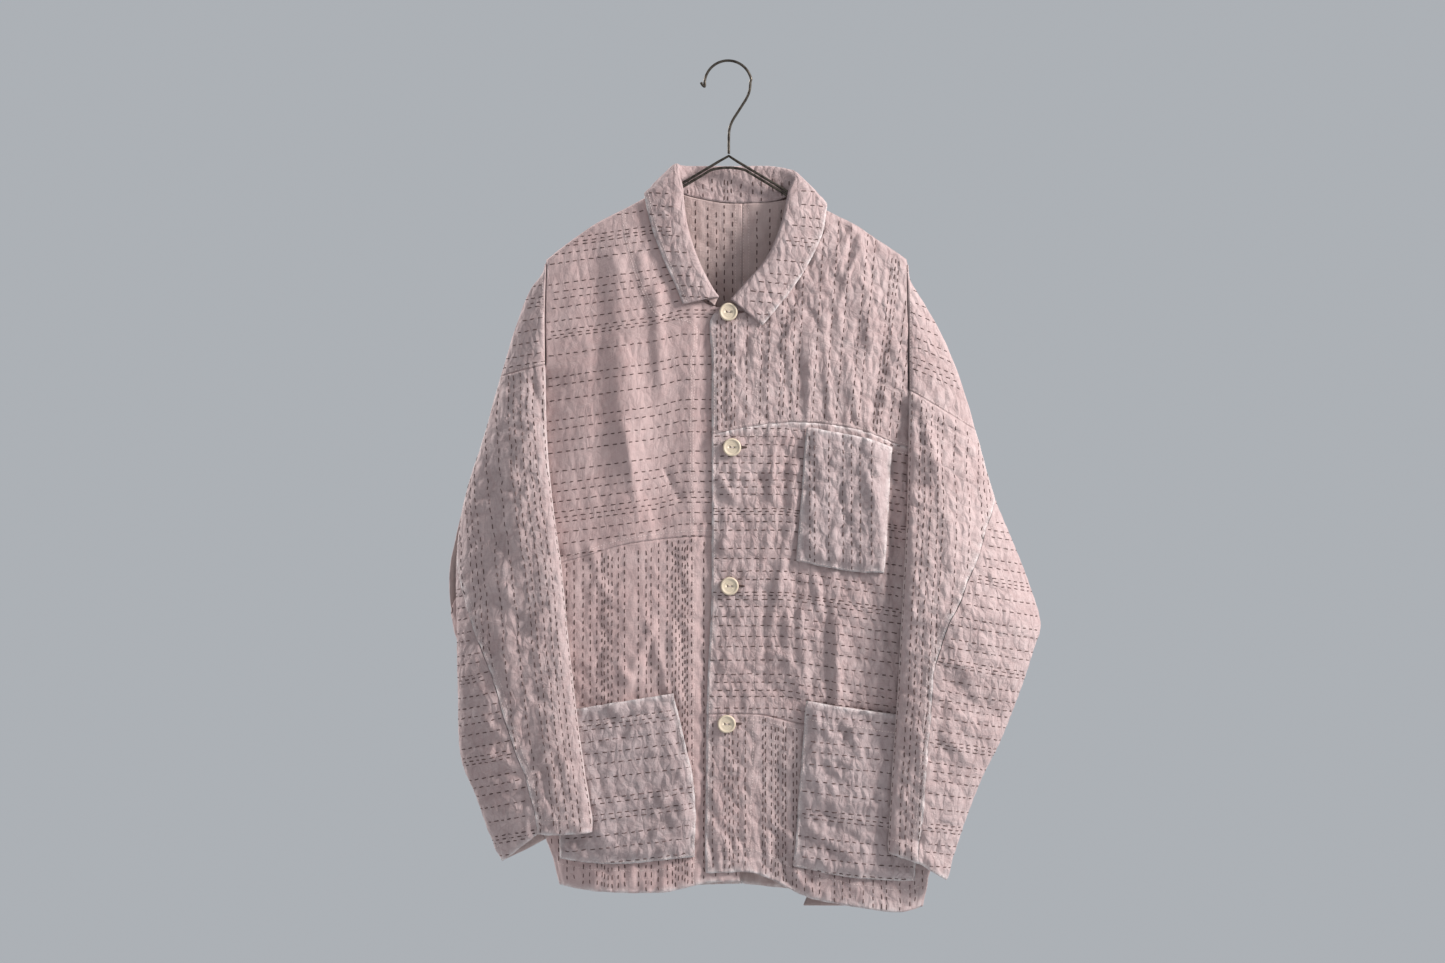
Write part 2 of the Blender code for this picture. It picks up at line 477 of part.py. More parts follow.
def fronts():
    """The two panels of the right front and the three of the left front."""
    gap = np.array([0, PANEL_GAP / 2])
    neck_edge = smooth_line([(x - NECK_GAP, z) for x, z in RIGHT_NECK[:-1]] + RIGHT_NECK[-1:])
    armhole = stretch(RIGHT_ARMHOLE, RIGHT_ARMHOLE[0], RIGHT_SEAM_END, RIGHT_ARMHOLE_ROWS)
    outer = chain(at(smooth_line(RIGHT_RIDGE), shoulder_steps(6)), armhole)
    outer[:7, 0] += WALL * 0.3
    underlap = np.array([(UNDERLAP_X, -266), (UNDERLAP_X, -496)])
    inner = chain(at(neck_edge, shoulder_steps(7)), at(underlap, np.linspace(0, 1, 6)))
    seam = at(smooth_line(RIGHT_FRONT_SEAM), RIGHT_COLUMNS)
    flat = coons(at(smooth_line(RIGHT_SHOULDER), RIGHT_COLUMNS), seam + gap, inner, outer)
    cloth("right_front_upper", [lift(flat, front_y(*flat.T).T + under_overlap(flat[..., 0]))])

    rest = chain(stretch(RIGHT_ARMHOLE, RIGHT_SEAM_END, RIGHT_UNDERARM, 1),
                 stretch(RIGHT_SIDE, RIGHT_UNDERARM, RIGHT_FOLD_START, 1),
                 stretch(RIGHT_SIDE, RIGHT_FOLD_START, RIGHT_SIDE[-1], 7))
    inner = at(np.array([(UNDERLAP_X, -496), (UNDERLAP_X, -856)]), lengths(rest))
    flat = coons(seam - gap, at(smooth_line(RIGHT_HEM), RIGHT_COLUMNS), inner, rest)
    panel = lift(flat, front_y(*flat.T).T + under_overlap(flat[..., 0]))
    cloth("right_front_lower", [panel, side_fold(panel[2:, -1], RIGHT_UNDERARM[0], -1)])

    neck_edge = smooth_line([(x + NECK_GAP, z) for x, z in LEFT_NECK[:-1]] + LEFT_NECK[-1:])
    outer = chain(at(smooth_line(LEFT_RIDGE), shoulder_steps(6)),
                  stretch(LEFT_ARMHOLE, LEFT_ARMHOLE[0], LEFT_YOKE_END, LEFT_ARMHOLE_ROWS))
    outer[:7, 0] -= WALL * 0.3
    inner = chain(at(neck_edge, shoulder_steps(6)), placket_edge(-269, -392, 3))
    seam = at(smooth_line(LEFT_YOKE_SEAM), LEFT_COLUMNS)
    flat = coons(at(smooth_line(LEFT_SHOULDER), LEFT_COLUMNS), seam + gap, inner, outer)
    cloth("left_front_upper", [lift(flat, front_y(*flat.T).T)])

    outer = chain(stretch(LEFT_ARMHOLE, LEFT_YOKE_END, LEFT_UNDERARM, 5),
                  stretch(LEFT_SIDE, LEFT_UNDERARM, LEFT_FOLD_START, 1),
                  stretch(LEFT_SIDE, LEFT_FOLD_START, LEFT_LOWER_END, 3))
    inner = placket_edge(-392, -682, 9)
    lower_seam = at(smooth_line(LEFT_LOWER_SEAM), LEFT_COLUMNS)
    flat = coons(seam - gap, lower_seam + gap, inner, outer)
    panel = lift(flat, front_y(*flat.T).T)
    cloth("left_front_middle", [panel, side_fold(panel[6:, -1], LEFT_UNDERARM[0], -1)])

    outer = stretch(LEFT_SIDE, LEFT_LOWER_END, LEFT_SIDE[-1], 6)
    inner = placket_edge(-682, -847, 6)
    flat = coons(lower_seam - gap, at(smooth_line(LEFT_HEM), LEFT_COLUMNS), inner, outer)
    panel = lift(flat, front_y(*flat.T).T)
    cloth("left_front_lower", [panel, side_fold(panel[:, -1], LEFT_UNDERARM[0], -1)])


def sleeve_surface(shape, t, s, seen):
    """Points of a sleeve at t down its length and s across it, on the seen or the hidden side."""
    inner = at(smooth_line(shape["inner"]), t)
    outer = at(smooth_line(shape["outer"]), t)
    flat = inner + (outer - inner) * s[..., None]
    hem = np.array(shape["seen_hem"] if seen else shape["hidden_hem"], float)
    cuff = smooth_step((t - 1 + CUFF_ZONE) / CUFF_ZONE)
    flat[..., 1] += np.interp(s, hem[:, 0], hem[:, 1]) * cuff
    x, z = flat[..., 0], flat[..., 1]
    clear = LAYER_STEP + 0.8 + 3.0 * smooth_step((-545 - z) / 30)
    ridge_y = front_y(inner[..., 0], inner[..., 1])
    inner_y = ridge_y - (LAYER_STEP + 2.6 + 3.0 * smooth_step((-520 - z) / 40)) * smooth_step(t / 0.05)
    underarm = shape["underarm"]
    outer_y = -(WALL + SEAM_GAP) / 2 + (SLEEVE_OUTER_DEPTH + 1) * smooth_step((t - underarm + 0.12) / 0.26)
    edge_y = inner_y + (outer_y - inner_y) * s
    if seen:
        rise = np.array(SLEEVE_FRONT_BULGE, float)
        y = edge_y - np.interp(t, rise[:, 0], rise[:, 1]) * bulge(s)
        y = y - fold_height(x, z, SLEEVE_FOLDS) * bulge(s)
    else:
        nominal = edge_y + SLEEVE_BACK_BULGE * bulge(s)
        over_body = np.abs(x) < side_width(x, z) + 6
        y = np.where(over_body, np.minimum(nominal, front_y(x, z) - clear), nominal)
        y = np.where(s <= 0, edge_y, y)
    return np.stack([x, y, z], axis=-1)


def sleeve(side_name, shape):
    """The upper and the under panel of one sleeve."""
    own_rows = [0.05, shape["seam"][0][0], shape["underarm"]]
    rows = np.unique(np.round(np.concatenate([np.linspace(0, 1, 19), own_rows]), 3))
    seam = np.array(shape["seam"], float)
    hidden = np.array(shape["hidden"], float)
    gap = 0.0025
    seam_at = np.interp(rows, seam[:, 0], seam[:, 1], left=1.0)
    hidden_at = np.interp(rows, hidden[:, 0], hidden[:, 1])
    around = 0.5 - 0.5 * np.cos(np.pi * np.linspace(0, 1, 9))
    seen_s = np.minimum(seam_at - gap * (rows >= seam[0, 0]), 1)[:, None] * around[None]
    seen = sleeve_surface(shape, np.repeat(rows[:, None], 9, 1), seen_s, True)
    low = rows >= 0.05
    back_round = np.array([0.0, 0.06, 0.25, 0.5, 0.75, 1.0])
    hidden_s = (hidden_at[low] - gap)[:, None] * back_round[None]
    behind = sleeve_surface(shape, np.repeat(rows[low][:, None], 6, 1), hidden_s, False)
    cloth(side_name + "_sleeve_upper", [seen, behind])
    from_seam = rows >= seam[0, 0] + 0.03
    across = 0.5 - 0.5 * np.cos(np.pi * np.linspace(0, 1, 7))
    outer_s = (seam_at + gap)[from_seam][:, None] * (1 - across) + across
    seen = sleeve_surface(shape, np.repeat(rows[from_seam][:, None], 7, 1), outer_s, True)
    low = rows >= shape["underarm"] + 0.03
    outer_round = np.array([0.0, 0.06, 0.25, 0.6, 1.0])
    hidden_s = 1 - (1 - hidden_at[low] - gap)[:, None] * outer_round
    behind = sleeve_surface(shape, np.repeat(rows[low][:, None], 5, 1), hidden_s, False)
    cloth(side_name + "_sleeve_under", [seen, behind], colour=(0.64, 0.49, 0.47))


def collar():
    """The collar: a stand that rises from the neck seam, a rounded fold and a leaf that lies outside."""
    sections = []
    for seam, fold, leaf in COLLAR_RIGHT + COLLAR_LEFT:
        away = np.array([0.0, -1.0, 0.0])
        points = [np.array([x, float(front_y(np.array(float(x)), np.array(float(z)))), z]) for x, z in
                  (seam, fold, leaf)]
        points[2][1] -= LEAF_LIFT
        sections.append((points[0], points[1], points[2], away))
    round_back = []
    behind = zip(COLLAR_BACK, COLLAR_FOLD_DEPTH, COLLAR_LEAF_DEPTH, COLLAR_FACING)
    for (seam, fold, leaf), fold_y, leaf_lift, direction in behind:
        seam_y = float(back_y(np.array(float(seam[0])), np.array(float(seam[1]))))
        leaf_y = float(back_y(np.array(float(leaf[0])), np.array(float(leaf[1])))) + leaf_lift
        if leaf_lift == 0:
            seam_y = 0.0
            leaf_y = 0.0
        points = [np.array([x, y, z]) for (x, z), y in zip((seam, fold, leaf), (seam_y, fold_y, leaf_y))]
        round_back.append((*points, np.array(direction) / np.linalg.norm(direction)))
    half = len(COLLAR_RIGHT)
    ordered = sections[:half] + round_back + sections[half:]
    joined = smooth_line([np.concatenate([*section[:3], section[3] * 10]) for section in ordered], 6)
    tracks = at(joined, np.linspace(0, 1, 39))
    seam, fold, leaf, outward = [tracks[:, k:k + 3] for k in (0, 3, 6, 9)]
    outward = outward / np.linalg.norm(outward, axis=1)[:, None]
    down_stand = (seam - fold) / np.linalg.norm(seam - fold, axis=1)[:, None]
    radius = COLLAR_FOLD_RADIUS
    rows = [seam, (seam + fold + radius * down_stand) / 2, fold + radius * down_stand]
    down_leaf = leaf - fold - 2 * radius * outward
    down_leaf = down_leaf / np.linalg.norm(down_leaf, axis=1)[:, None]
    for angle in (45, 90, 135):
        swing = math.radians(angle)
        down = down_stand if angle < 90 else down_leaf
        rows.append(fold + radius * (1 - math.sin(swing)) * down + radius * (1 - math.cos(swing)) * outward)
    top = fold + radius * down_leaf + 2 * radius * outward
    rows.append(top)
    for share in (0.33, 0.66, 1.0):
        rows.append(top + (leaf - top) * share + outward * LEAF_CROWN * math.sin(math.pi * share))
    cloth("collar", [np.stack(rows, axis=1)], colour=(0.70, 0.55, 0.52))


def pocket(name, edges, cells):
    """A patch pocket that lies one layer in front of the front panels."""
    top, bottom, inner, outer = [at(smooth_line(edge), np.linspace(0, 1, cells + 1)) for edge in edges]
    flat = coons(top, bottom, inner, outer)
    cloth(name, [lift(flat, front_y(*flat.T).T - LAYER_STEP)], colour=(0.63, 0.48, 0.46))


def button(name, x, z):
    """A turned two-hole button with a raised rim."""
    middle = np.array([x, z], float)
    front = float(front_y(middle[:1], middle[1:])[0]) - WALL / 2 - SEAM_GAP - 0.5
    radius = BUTTON_RADIUS * MM
    thick = BUTTON_THICKNESS * MM
    rim = BUTTON_RIM * MM
    dish = BUTTON_DISH * MM
    profile = [(0, -thick + dish), (radius - rim * 1.4, -thick + dish), (radius - rim * 0.8, -thick),
               (radius - rim * 0.3, -thick), (radius, -thick * 0.6), (radius * 0.95, -thick * 0.15),
               (radius * 0.8, 0), (0, 0)]
    disc = bmesh.new()
    rings = [disc.verts.new((reach, y, 0)) for reach, y in profile]
    edges = [disc.edges.new(pair) for pair in zip(rings, rings[1:])]
    bmesh.ops.spin(disc, geom=rings + edges, cent=(0, 0, 0), axis=(0, 1, 0), angle=math.tau, steps=18)
    bmesh.ops.remove_doubles(disc, verts=disc.verts, dist=0.00001)
    bmesh.ops.recalc_face_normals(disc, faces=disc.faces)
    mesh = bpy.data.meshes.new(name)
    disc.to_mesh(mesh)
    disc.free()
    piece = add_object(name, mesh, material(name + "_finish", (0.68, 0.62, 0.49), 0.4))
    piece.location = (x * MM, front * MM, z * MM)
    piece.rotation_euler = (0, math.radians(BUTTON_TURN), 0)
    for side in (-1, 1):
        drill = bmesh.new()
        bmesh.ops.create_cone(drill, cap_ends=True, segments=8, radius1=BUTTON_HOLE_RADIUS * MM,
                              radius2=BUTTON_HOLE_RADIUS * MM, depth=thick * 4)
        tool = bpy.data.meshes.new(name + "_drill")
        drill.to_mesh(tool)
        drill.free()
        cutter = bpy.data.objects.new(f"{name}_drill_{side + 2}", tool)
        cutter.location = ((x + side * BUTTON_HOLE_SPACING / 2) * MM, front * MM, z * MM)
        cutter.rotation_euler = (math.pi / 2, 0, 0)
        cutter.hide_render = True
        cutter.display_type = "WIRE"
        bpy.data.collections["cutters"].objects.link(cutter)
        hole = piece.modifiers.new("hole", "BOOLEAN")
        hole.operation = "DIFFERENCE"
        hole.object = cutter


def main():
    for old in list(bpy.data.objects):
        bpy.data.objects.remove(old, do_unlink=True)
    for name in ("jacket", "cutters"):
        group = bpy.data.collections.new(name)
        bpy.context.scene.collection.children.link(group)
    hanger()
    back("back_right", RIGHT_SIDE, RIGHT_SHOULDER, RIGHT_SLEEVE_HEAD, RIGHT_UNDERARM, RIGHT_FOLD_START,
         RIGHT_RIDGE, RIGHT_BACK_HEM, RIGHT_BACK_NECK)
    back("back_left", LEFT_SIDE, LEFT_SHOULDER, LEFT_SLEEVE_HEAD, LEFT_UNDERARM, LEFT_FOLD_START,
         LEFT_RIDGE, LEFT_BACK_HEM, LEFT_BACK_NECK)
    fronts()
    sleeve("right", RIGHT_SLEEVE)
    sleeve("left", LEFT_SLEEVE)
    collar()
    pocket("chest_pocket", CHEST_POCKET, 7)
    pocket("right_pocket", RIGHT_POCKET, 8)
    pocket("left_pocket", LEFT_POCKET, 8)
    for number, (x, z) in enumerate(BUTTON_PLACES, 1):
        button(f"button_{number}", x, z)


main()
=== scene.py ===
import math

import bmesh
import bpy
import numpy as np
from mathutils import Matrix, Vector


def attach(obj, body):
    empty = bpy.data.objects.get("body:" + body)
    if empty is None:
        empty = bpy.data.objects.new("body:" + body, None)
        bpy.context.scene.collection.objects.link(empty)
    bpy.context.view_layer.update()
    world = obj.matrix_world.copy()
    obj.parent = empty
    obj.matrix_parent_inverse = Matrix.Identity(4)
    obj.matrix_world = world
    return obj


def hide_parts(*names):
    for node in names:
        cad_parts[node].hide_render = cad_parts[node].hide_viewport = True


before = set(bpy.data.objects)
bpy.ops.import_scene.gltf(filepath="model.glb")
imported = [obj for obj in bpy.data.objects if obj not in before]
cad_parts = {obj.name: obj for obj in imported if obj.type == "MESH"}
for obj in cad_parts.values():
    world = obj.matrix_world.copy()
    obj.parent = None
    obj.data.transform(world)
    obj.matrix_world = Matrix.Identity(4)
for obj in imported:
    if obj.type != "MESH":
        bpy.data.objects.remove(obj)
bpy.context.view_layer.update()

# Sizes and places are in millimetres of the hung jacket, (x, z) on the front and y for depth, unless a
# heading names another measure. Right and left are the wearer's, and the wearer's right has negative x.
MM = 0.001
FRONT = (0.0, -1.0, 0.0)
BEHIND = (0.0, 1.0, 0.0)

# The photo's scale: the pixel where x and z are 0, and a pixel's real size, from buttons of 19 mm
ZERO_COLUMN = 728
ZERO_ROW = 62
PIXEL_SIZE = 1.05

# Cloth and wire
WALL = 1.6
SEAM_GAP = 0.05
PANEL_GAP = 0.1
SHOULDER_SETBACK = 0.65
LAYER_STEP = 2.9
WIRE_RADIUS = 1.4
NECK_GAP = 1.5

# Hanger: a hook, and a cyclic wire with a straight roof and a bowed lower bar
HOOK_ARC_RADIUS = 24.7
HOOK_TOP_Z = WIRE_RADIUS
HOOK_SHANK = [(23.5, -21), (22.6, -30), (20, -37), (12, -50), (4, -63), (1.4, -71), (0.8, -80), (0.8, -96.5)]
APEX = (0.8, -98.7)
ROOF_SLOPE = 0.60
HANGER_TIP_X = 181.0
BAR_TOP_Z = -111.0
BAR_DROP = 3.2

# Shoulder line of each side, from the neck to the hanger's tip
RIGHT_SHOULDER = [(-62, -132.4), (-89, -145), (-108, -155), (-140, -171.5), (-180, -200.5), (-190, -208.5)]
LEFT_SHOULDER = [(76, -140.6), (104, -157.6), (130, -170), (159, -189), (181, -203.6), (187, -208.5)]
FOLD_OVER_WIRE = 3.7

# Side outline of the body, from the hanger's tip to the hem
RIGHT_SIDE = [(-190, -208.5), (-193, -220), (-206, -238), (-217, -264), (-227, -294), (-238, -331),
              (-256.5, -398), (-270, -439), (-279, -477), (-289, -510), (-292, -535), (-290, -576),
              (-281, -604), (-262, -660), (-226, -740), (-194, -800), (-178.5, -837), (-172, -862)]
LEFT_SIDE = [(187, -208.5), (191, -232), (207, -257), (225, -289.5), (233, -307), (248, -349),
             (259, -387), (279, -458), (295, -497), (315, -548), (322, -590), (314, -612),
             (290, -656), (266, -711), (248, -747), (228, -794), (211, -837), (200, -885)]
RIGHT_SEAM_TOP_Z = -319.0
LEFT_SEAM_TOP_Z = -346.0
RIGHT_SLEEVE_HEAD = (-238, -331)
LEFT_SLEEVE_HEAD = (259, -387)
RIGHT_UNDERARM = (-290, -576)
LEFT_UNDERARM = (322, -590)
RIGHT_FOLD_START = (-281, -604)
LEFT_FOLD_START = (314, -612)

# Ridge seam beyond the shoulder, and the front armhole behind the sleeve
RIGHT_RIDGE = [(-190, -208.5), (-191, -260), (-190.5, -319)]
LEFT_RIDGE = [(187, -208.5), (188, -270), (188.6, -346)]
RIGHT_ARMHOLE = [(-190.5, -319), (-199, -345), (-214, -390), (-243, -470), (-272, -540), (-290, -576)]
LEFT_ARMHOLE = [(188.6, -346), (197, -375), (212, -420), (245, -490), (284, -550), (322, -590)]

# Depth of the hung body in front of and behind the hanger's plane
FRONT_SHOULDER_FULLNESS = 11.0
FRONT_LOWER_FULLNESS = 14.0
BACK_SHOULDER_FULLNESS = 6.0
BACK_LOWER_FULLNESS = 11.0
SHOULDER_FALL = 40.0
LOWER_FALL = 380.0
SIDE_ROUNDING = 110.0
SIDE_FOLD_RADIUS = 2.7
SIDE_EDGE_DEPTH = 6.9

# Where the side closes above and below the underarm, and the tuck behind the top of each sleeve
UNDERARM_BLEND = 24.0
UNDERARM_TOP_Z = -400.0
UNDERARM_REACH = 90.0
TUCK_DEPTH = 6.0
TUCK_START = 18.0
TUCK_LENGTH = 170.0
TUCK_FADE = 90.0
TUCK_X = 196.0
TUCK_HALF_WIDTH = 30.0

# The front's lapping edge, the edge under it and the centre back
OVERLAP_EDGE = [(-17, -252), (-17, -400), (-17, -563), (-22, -659), (-24, -832), (-23, -857.5)]
UNDERLAP_X = 12.0
CENTRE_BACK_X = 15.0

# Panel seams and hems, from the centre outwards
RIGHT_FRONT_SEAM = [(UNDERLAP_X, -496), (-20, -497), (-65, -500), (-108, -506), (-173, -525), (-275, -546)]
LEFT_YOKE_SEAM = [(-17, -392), (33, -382), (80, -379), (138, -387.5), (172, -400), (208, -411)]
LEFT_LOWER_SEAM = [(-22.3, -682), (36, -683), (79, -693), (180, -702), (262, -718)]
RIGHT_HEM = [(UNDERLAP_X, -856), (-23, -857.5), (-68, -867), (-152, -865), (-172, -862)]
LEFT_HEM = [(-23, -847), (36, -848), (50, -857), (84, -872), (110, -878), (139, -883), (180, -889),
            (200, -885)]
BACK_HEM_Z = -866.0
RIGHT_BACK_HEM = [(CENTRE_BACK_X, BACK_HEM_Z), (-100, -868), (-172, -862)]
LEFT_BACK_HEM = [(CENTRE_BACK_X, BACK_HEM_Z), (110, -876), (200, -885)]

# Neck seams, from the shoulder or the centre back
RIGHT_BACK_NECK = [(CENTRE_BACK_X, -147.9), (0, -147.9), (-47, -138.9), (-62, -132.4)]
LEFT_BACK_NECK = [(CENTRE_BACK_X, -147.9), (50, -145.9), (76, -140.6)]
RIGHT_NECK = [(-62, -132.4), (-62, -139), (-57, -171), (-44, -213), (-28, -248), (-8, -263),
              (UNDERLAP_X, -266)]
LEFT_NECK = [(76, -140.6), (77, -150), (68, -178), (51, -215), (32, -243), (9, -264), (-17, -269)]

# Where the panel seams meet the side outline
RIGHT_SEAM_END = (-275, -546)
LEFT_YOKE_END = (208, -411)
LEFT_LOWER_END = (262, -718)

# Shares of an edge at which a panel has its own columns and rows
RIGHT_COLUMNS = [0, 0.13, 0.18, 0.29, 0.41, 0.53, 0.65, 0.76, 0.85, 0.92, 0.965, 1]
LEFT_COLUMNS = [0, 0.09, 0.2, 0.31, 0.42, 0.53, 0.64, 0.74, 0.83, 0.91, 0.965, 1]
BACK_NECK_COLUMNS = [0, 0.25, 0.5, 0.72, 0.87, 0.95, 1]
RIGHT_ARMHOLE_ROWS = [0, 0.05, 0.14, 0.3, 0.5, 0.75, 1]
LEFT_ARMHOLE_ROWS = [0, 0.2, 0.5, 1]

# Collar sections from the right front end round the back: seam, fold and leaf edge as (x, z)
COLLAR_RIGHT = [((-14, -257), (-10, -248), (-47, -256)), ((-26, -246), (-16, -240), (-53, -240)),
                ((-44, -213), (-32, -208), (-66, -212)), ((-57, -171), (-44, -168), (-80, -174)),
                ((-62.5, -138), (-49, -126), (-86, -148))]
COLLAR_BACK = [((-61.5, -130.5), (-51.5, -110), (-87, -135.5)), ((-47, -138), (-46, -108.5), (-70, -160)),
               ((0, -147), (1, -108.5), (0, -170)), ((50, -145), (50, -109.5), (66, -168)),
               ((74.3, -137.4), (68, -119), (101, -144))]
COLLAR_LEFT = [((75.3, -149), (65, -131), (102, -162)), ((66, -177), (56, -171), (97, -186)),
               ((49, -213.5), (40, -208), (80, -220)), ((28, -238.5), (20, -232), (62, -246)),
               ((8.5, -257), (3, -251), (36, -278))]
COLLAR_FOLD_RADIUS = 2.8
LEAF_LIFT = 3.2
LEAF_CROWN = 1.6

# At the back sections: the fold's depth, how far the leaf clears the back, and where the leaf faces
COLLAR_FOLD_DEPTH = [0.0, 7.5, 10.0, 7.5, 0.0]
COLLAR_LEAF_DEPTH = [0.0, 9.5, 5.0, 9.5, 0.0]
COLLAR_FACING = [(-0.9, 0.15, 0.4), (-0.3, 0.95, 0), (0, 1, 0), (0.3, 0.95, 0), (0.9, 0.15, 0.4)]

# Patch pockets as corner-to-corner edges: top, bottom, inner, outer
RIGHT_POCKET = ([(-57, -660), (-120, -670), (-180, -680)],
                [(-35, -829.5), (-121, -837), (-174.5, -833)],
                [(-57, -660), (-45, -710), (-35, -761), (-35, -829.5)],
                [(-180, -680), (-178, -760), (-174.5, -833)])
LEFT_POCKET = ([(81.5, -667.5), (106, -672), (175, -682), (205, -686)],
               [(68, -839), (120, -849.5), (183, -855.5), (193, -856)],
               [(81.5, -667.5), (78, -706), (74, -764), (68, -839)],
               [(205, -686), (201, -780), (193, -856)])
CHEST_POCKET = ([(82, -384), (144, -396), (170, -405)],
                [(71, -522.5), (123, -533), (161.5, -535)],
                [(82, -384), (79, -411), (77, -443), (71, -522.5)],
                [(170, -405), (166, -470), (161.5, -535)])
POCKET_FULLNESS = 2.0

# Buttons
BUTTON_PLACES = [(0.4, -264), (4, -405), (1.5, -549), (-1.5, -692)]
BUTTON_RADIUS = 9.5
BUTTON_THICKNESS = 3.2
BUTTON_BOWL = 0.9
BUTTON_HOLE_RADIUS = 0.95
BUTTON_HOLE_SPACING = 3.6
BUTTON_TURN = 7.0
BUTTON_CLEARANCE = 0.5
HOLE_THREAD_RADIUS = 0.32
SHANK_RADIUS = 1.1
BUTTONHOLE_SHIFT = 6.5
BUTTONHOLE_HALF_LENGTH = 9.0
BUTTONHOLE_HALF_WIDTH = 0.9
BUTTONHOLE_THREAD_RADIUS = 0.75

# Sleeves: inner and outer outline, panel seam on the seen side and its twin on the hidden side as (t, s)
RIGHT_SLEEVE = dict(
    inner=[(-191.5, -319), (-189, -400), (-183, -460), (-173, -531.5), (-166, -603), (-156, -689),
           (-149, -740), (-142, -784), (-142, -803)],
    outer=[(-238, -331), (-256.5, -398), (-270, -439), (-279, -477), (-284, -525), (-282, -603),
           (-280.5, -654.5), (-277, -729.5), (-262, -767), (-246, -811.5), (-234, -835)],
    seam=[(0.38, 1.0), (0.45, 0.93), (0.53, 0.83), (0.62, 0.69), (0.76, 0.555), (0.84, 0.51), (0.94, 0.54),
          (1, 0.6)],
    hidden=[(0.05, 0.18), (0.13, 0.39), (0.29, 0.64), (0.42, 0.87), (0.48, 0.96), (0.6, 0.85), (0.75, 0.68),
            (0.9, 0.58), (1, 0.52)],
    underarm=0.48, seen_hem=[(0, 0), (0.26, 7), (0.6, 17), (1, 0)],
    hidden_hem=[(0, 0), (0.43, 9), (0.74, 3), (1, 0)], row_slope=0.22)
LEFT_SLEEVE = dict(
    inner=[(189.6, -346), (187, -458), (181, -566), (176, -656.5), (170, -747), (167, -819), (168, -825)],
    outer=[(259, -387), (279, -458), (295, -497), (315, -548), (326, -591), (319, -613), (304, -656.5),
           (282.5, -711), (264.5, -747), (246, -794), (232, -837), (226.5, -855)],
    seam=[(0.15, 1.0), (0.24, 0.74), (0.38, 0.46), (0.47, 0.34), (0.585, 0.27), (0.74, 0.33), (0.89, 0.435),
          (1, 0.47)],
    hidden=[(0.05, 0.1), (0.13, 0.27), (0.25, 0.52), (0.355, 0.75), (0.43, 0.95), (0.55, 0.85), (0.7, 0.68),
            (0.85, 0.58), (1, 0.52)],
    underarm=0.43, seen_hem=[(0, 0), (0.5, 5), (1, 0)],
    hidden_hem=[(0, 0), (0.5, 8), (1, 0)], row_slope=-0.18)
SLEEVE_FRONT_BULGE = [(0, 8), (0.15, 14), (0.4, 20), (0.7, 18), (1, 14)]
SLEEVE_BACK_BULGE = 6.0
SLEEVE_OUTER_DEPTH = -20.0
CUFF_ZONE = 0.16

# Largest soft folds as (x, z) to (x, z), half width and height towards the viewer
FRONT_FOLDS = [((-120, -300), (-104, -500), 20, 3.5), ((-62, -330), (-70, -520), 24, -3.0),
               ((-98, -560), (-118, -680), 26, 3.5), ((-140, -770), (-120, -866), 24, 3.0),
               ((60, -290), (140, -350), 26, 3.0), ((110, -190), (165, -300), 24, 3.0),
               ((125, -560), (100, -690), 28, 3.5), ((125, -720), (140, -885), 28, 3.5),
               ((50, -740), (40, -850), 24, -3.0), ((150, -410), (160, -540), 24, 3.0)]
BACK_FOLDS = [((-120, -330), (-60, -560), 24, 5.0), ((130, -320), (70, -600), 26, 5.0),
              ((-60, -600), (-90, -866), 22, 5.0), ((60, -640), (100, -868), 24, 5.0)]
SLEEVE_FOLDS = [((-208, -390), (-228, -560), 14, 4.0), ((-250, -440), (-205, -600), 12, -3.0),
                ((-180, -640), (-190, -780), 12, 3.0), ((215, -400), (235, -520), 14, 4.0),
                ((225, -590), (300, -570), 14, 4.0), ((230, -650), (285, -690), 12, -3.5),
                ((200, -680), (205, -800), 12, 3.0)]

# Crisp creases that are wider than the ones read off the photo, as (x, z) to (x, z), half width and height
UPPER_CREASES = [((-118, -203), (-95, -430), 16, 3.4), ((-140, -190), (-128, -440), 14, -2.4)]
CHEST_CREASES = [((145, -392), (162, -530), 8, 3.2), ((169, -404), (173, -560), 8, -7.0)]
CREASE_BOOST = 1.6

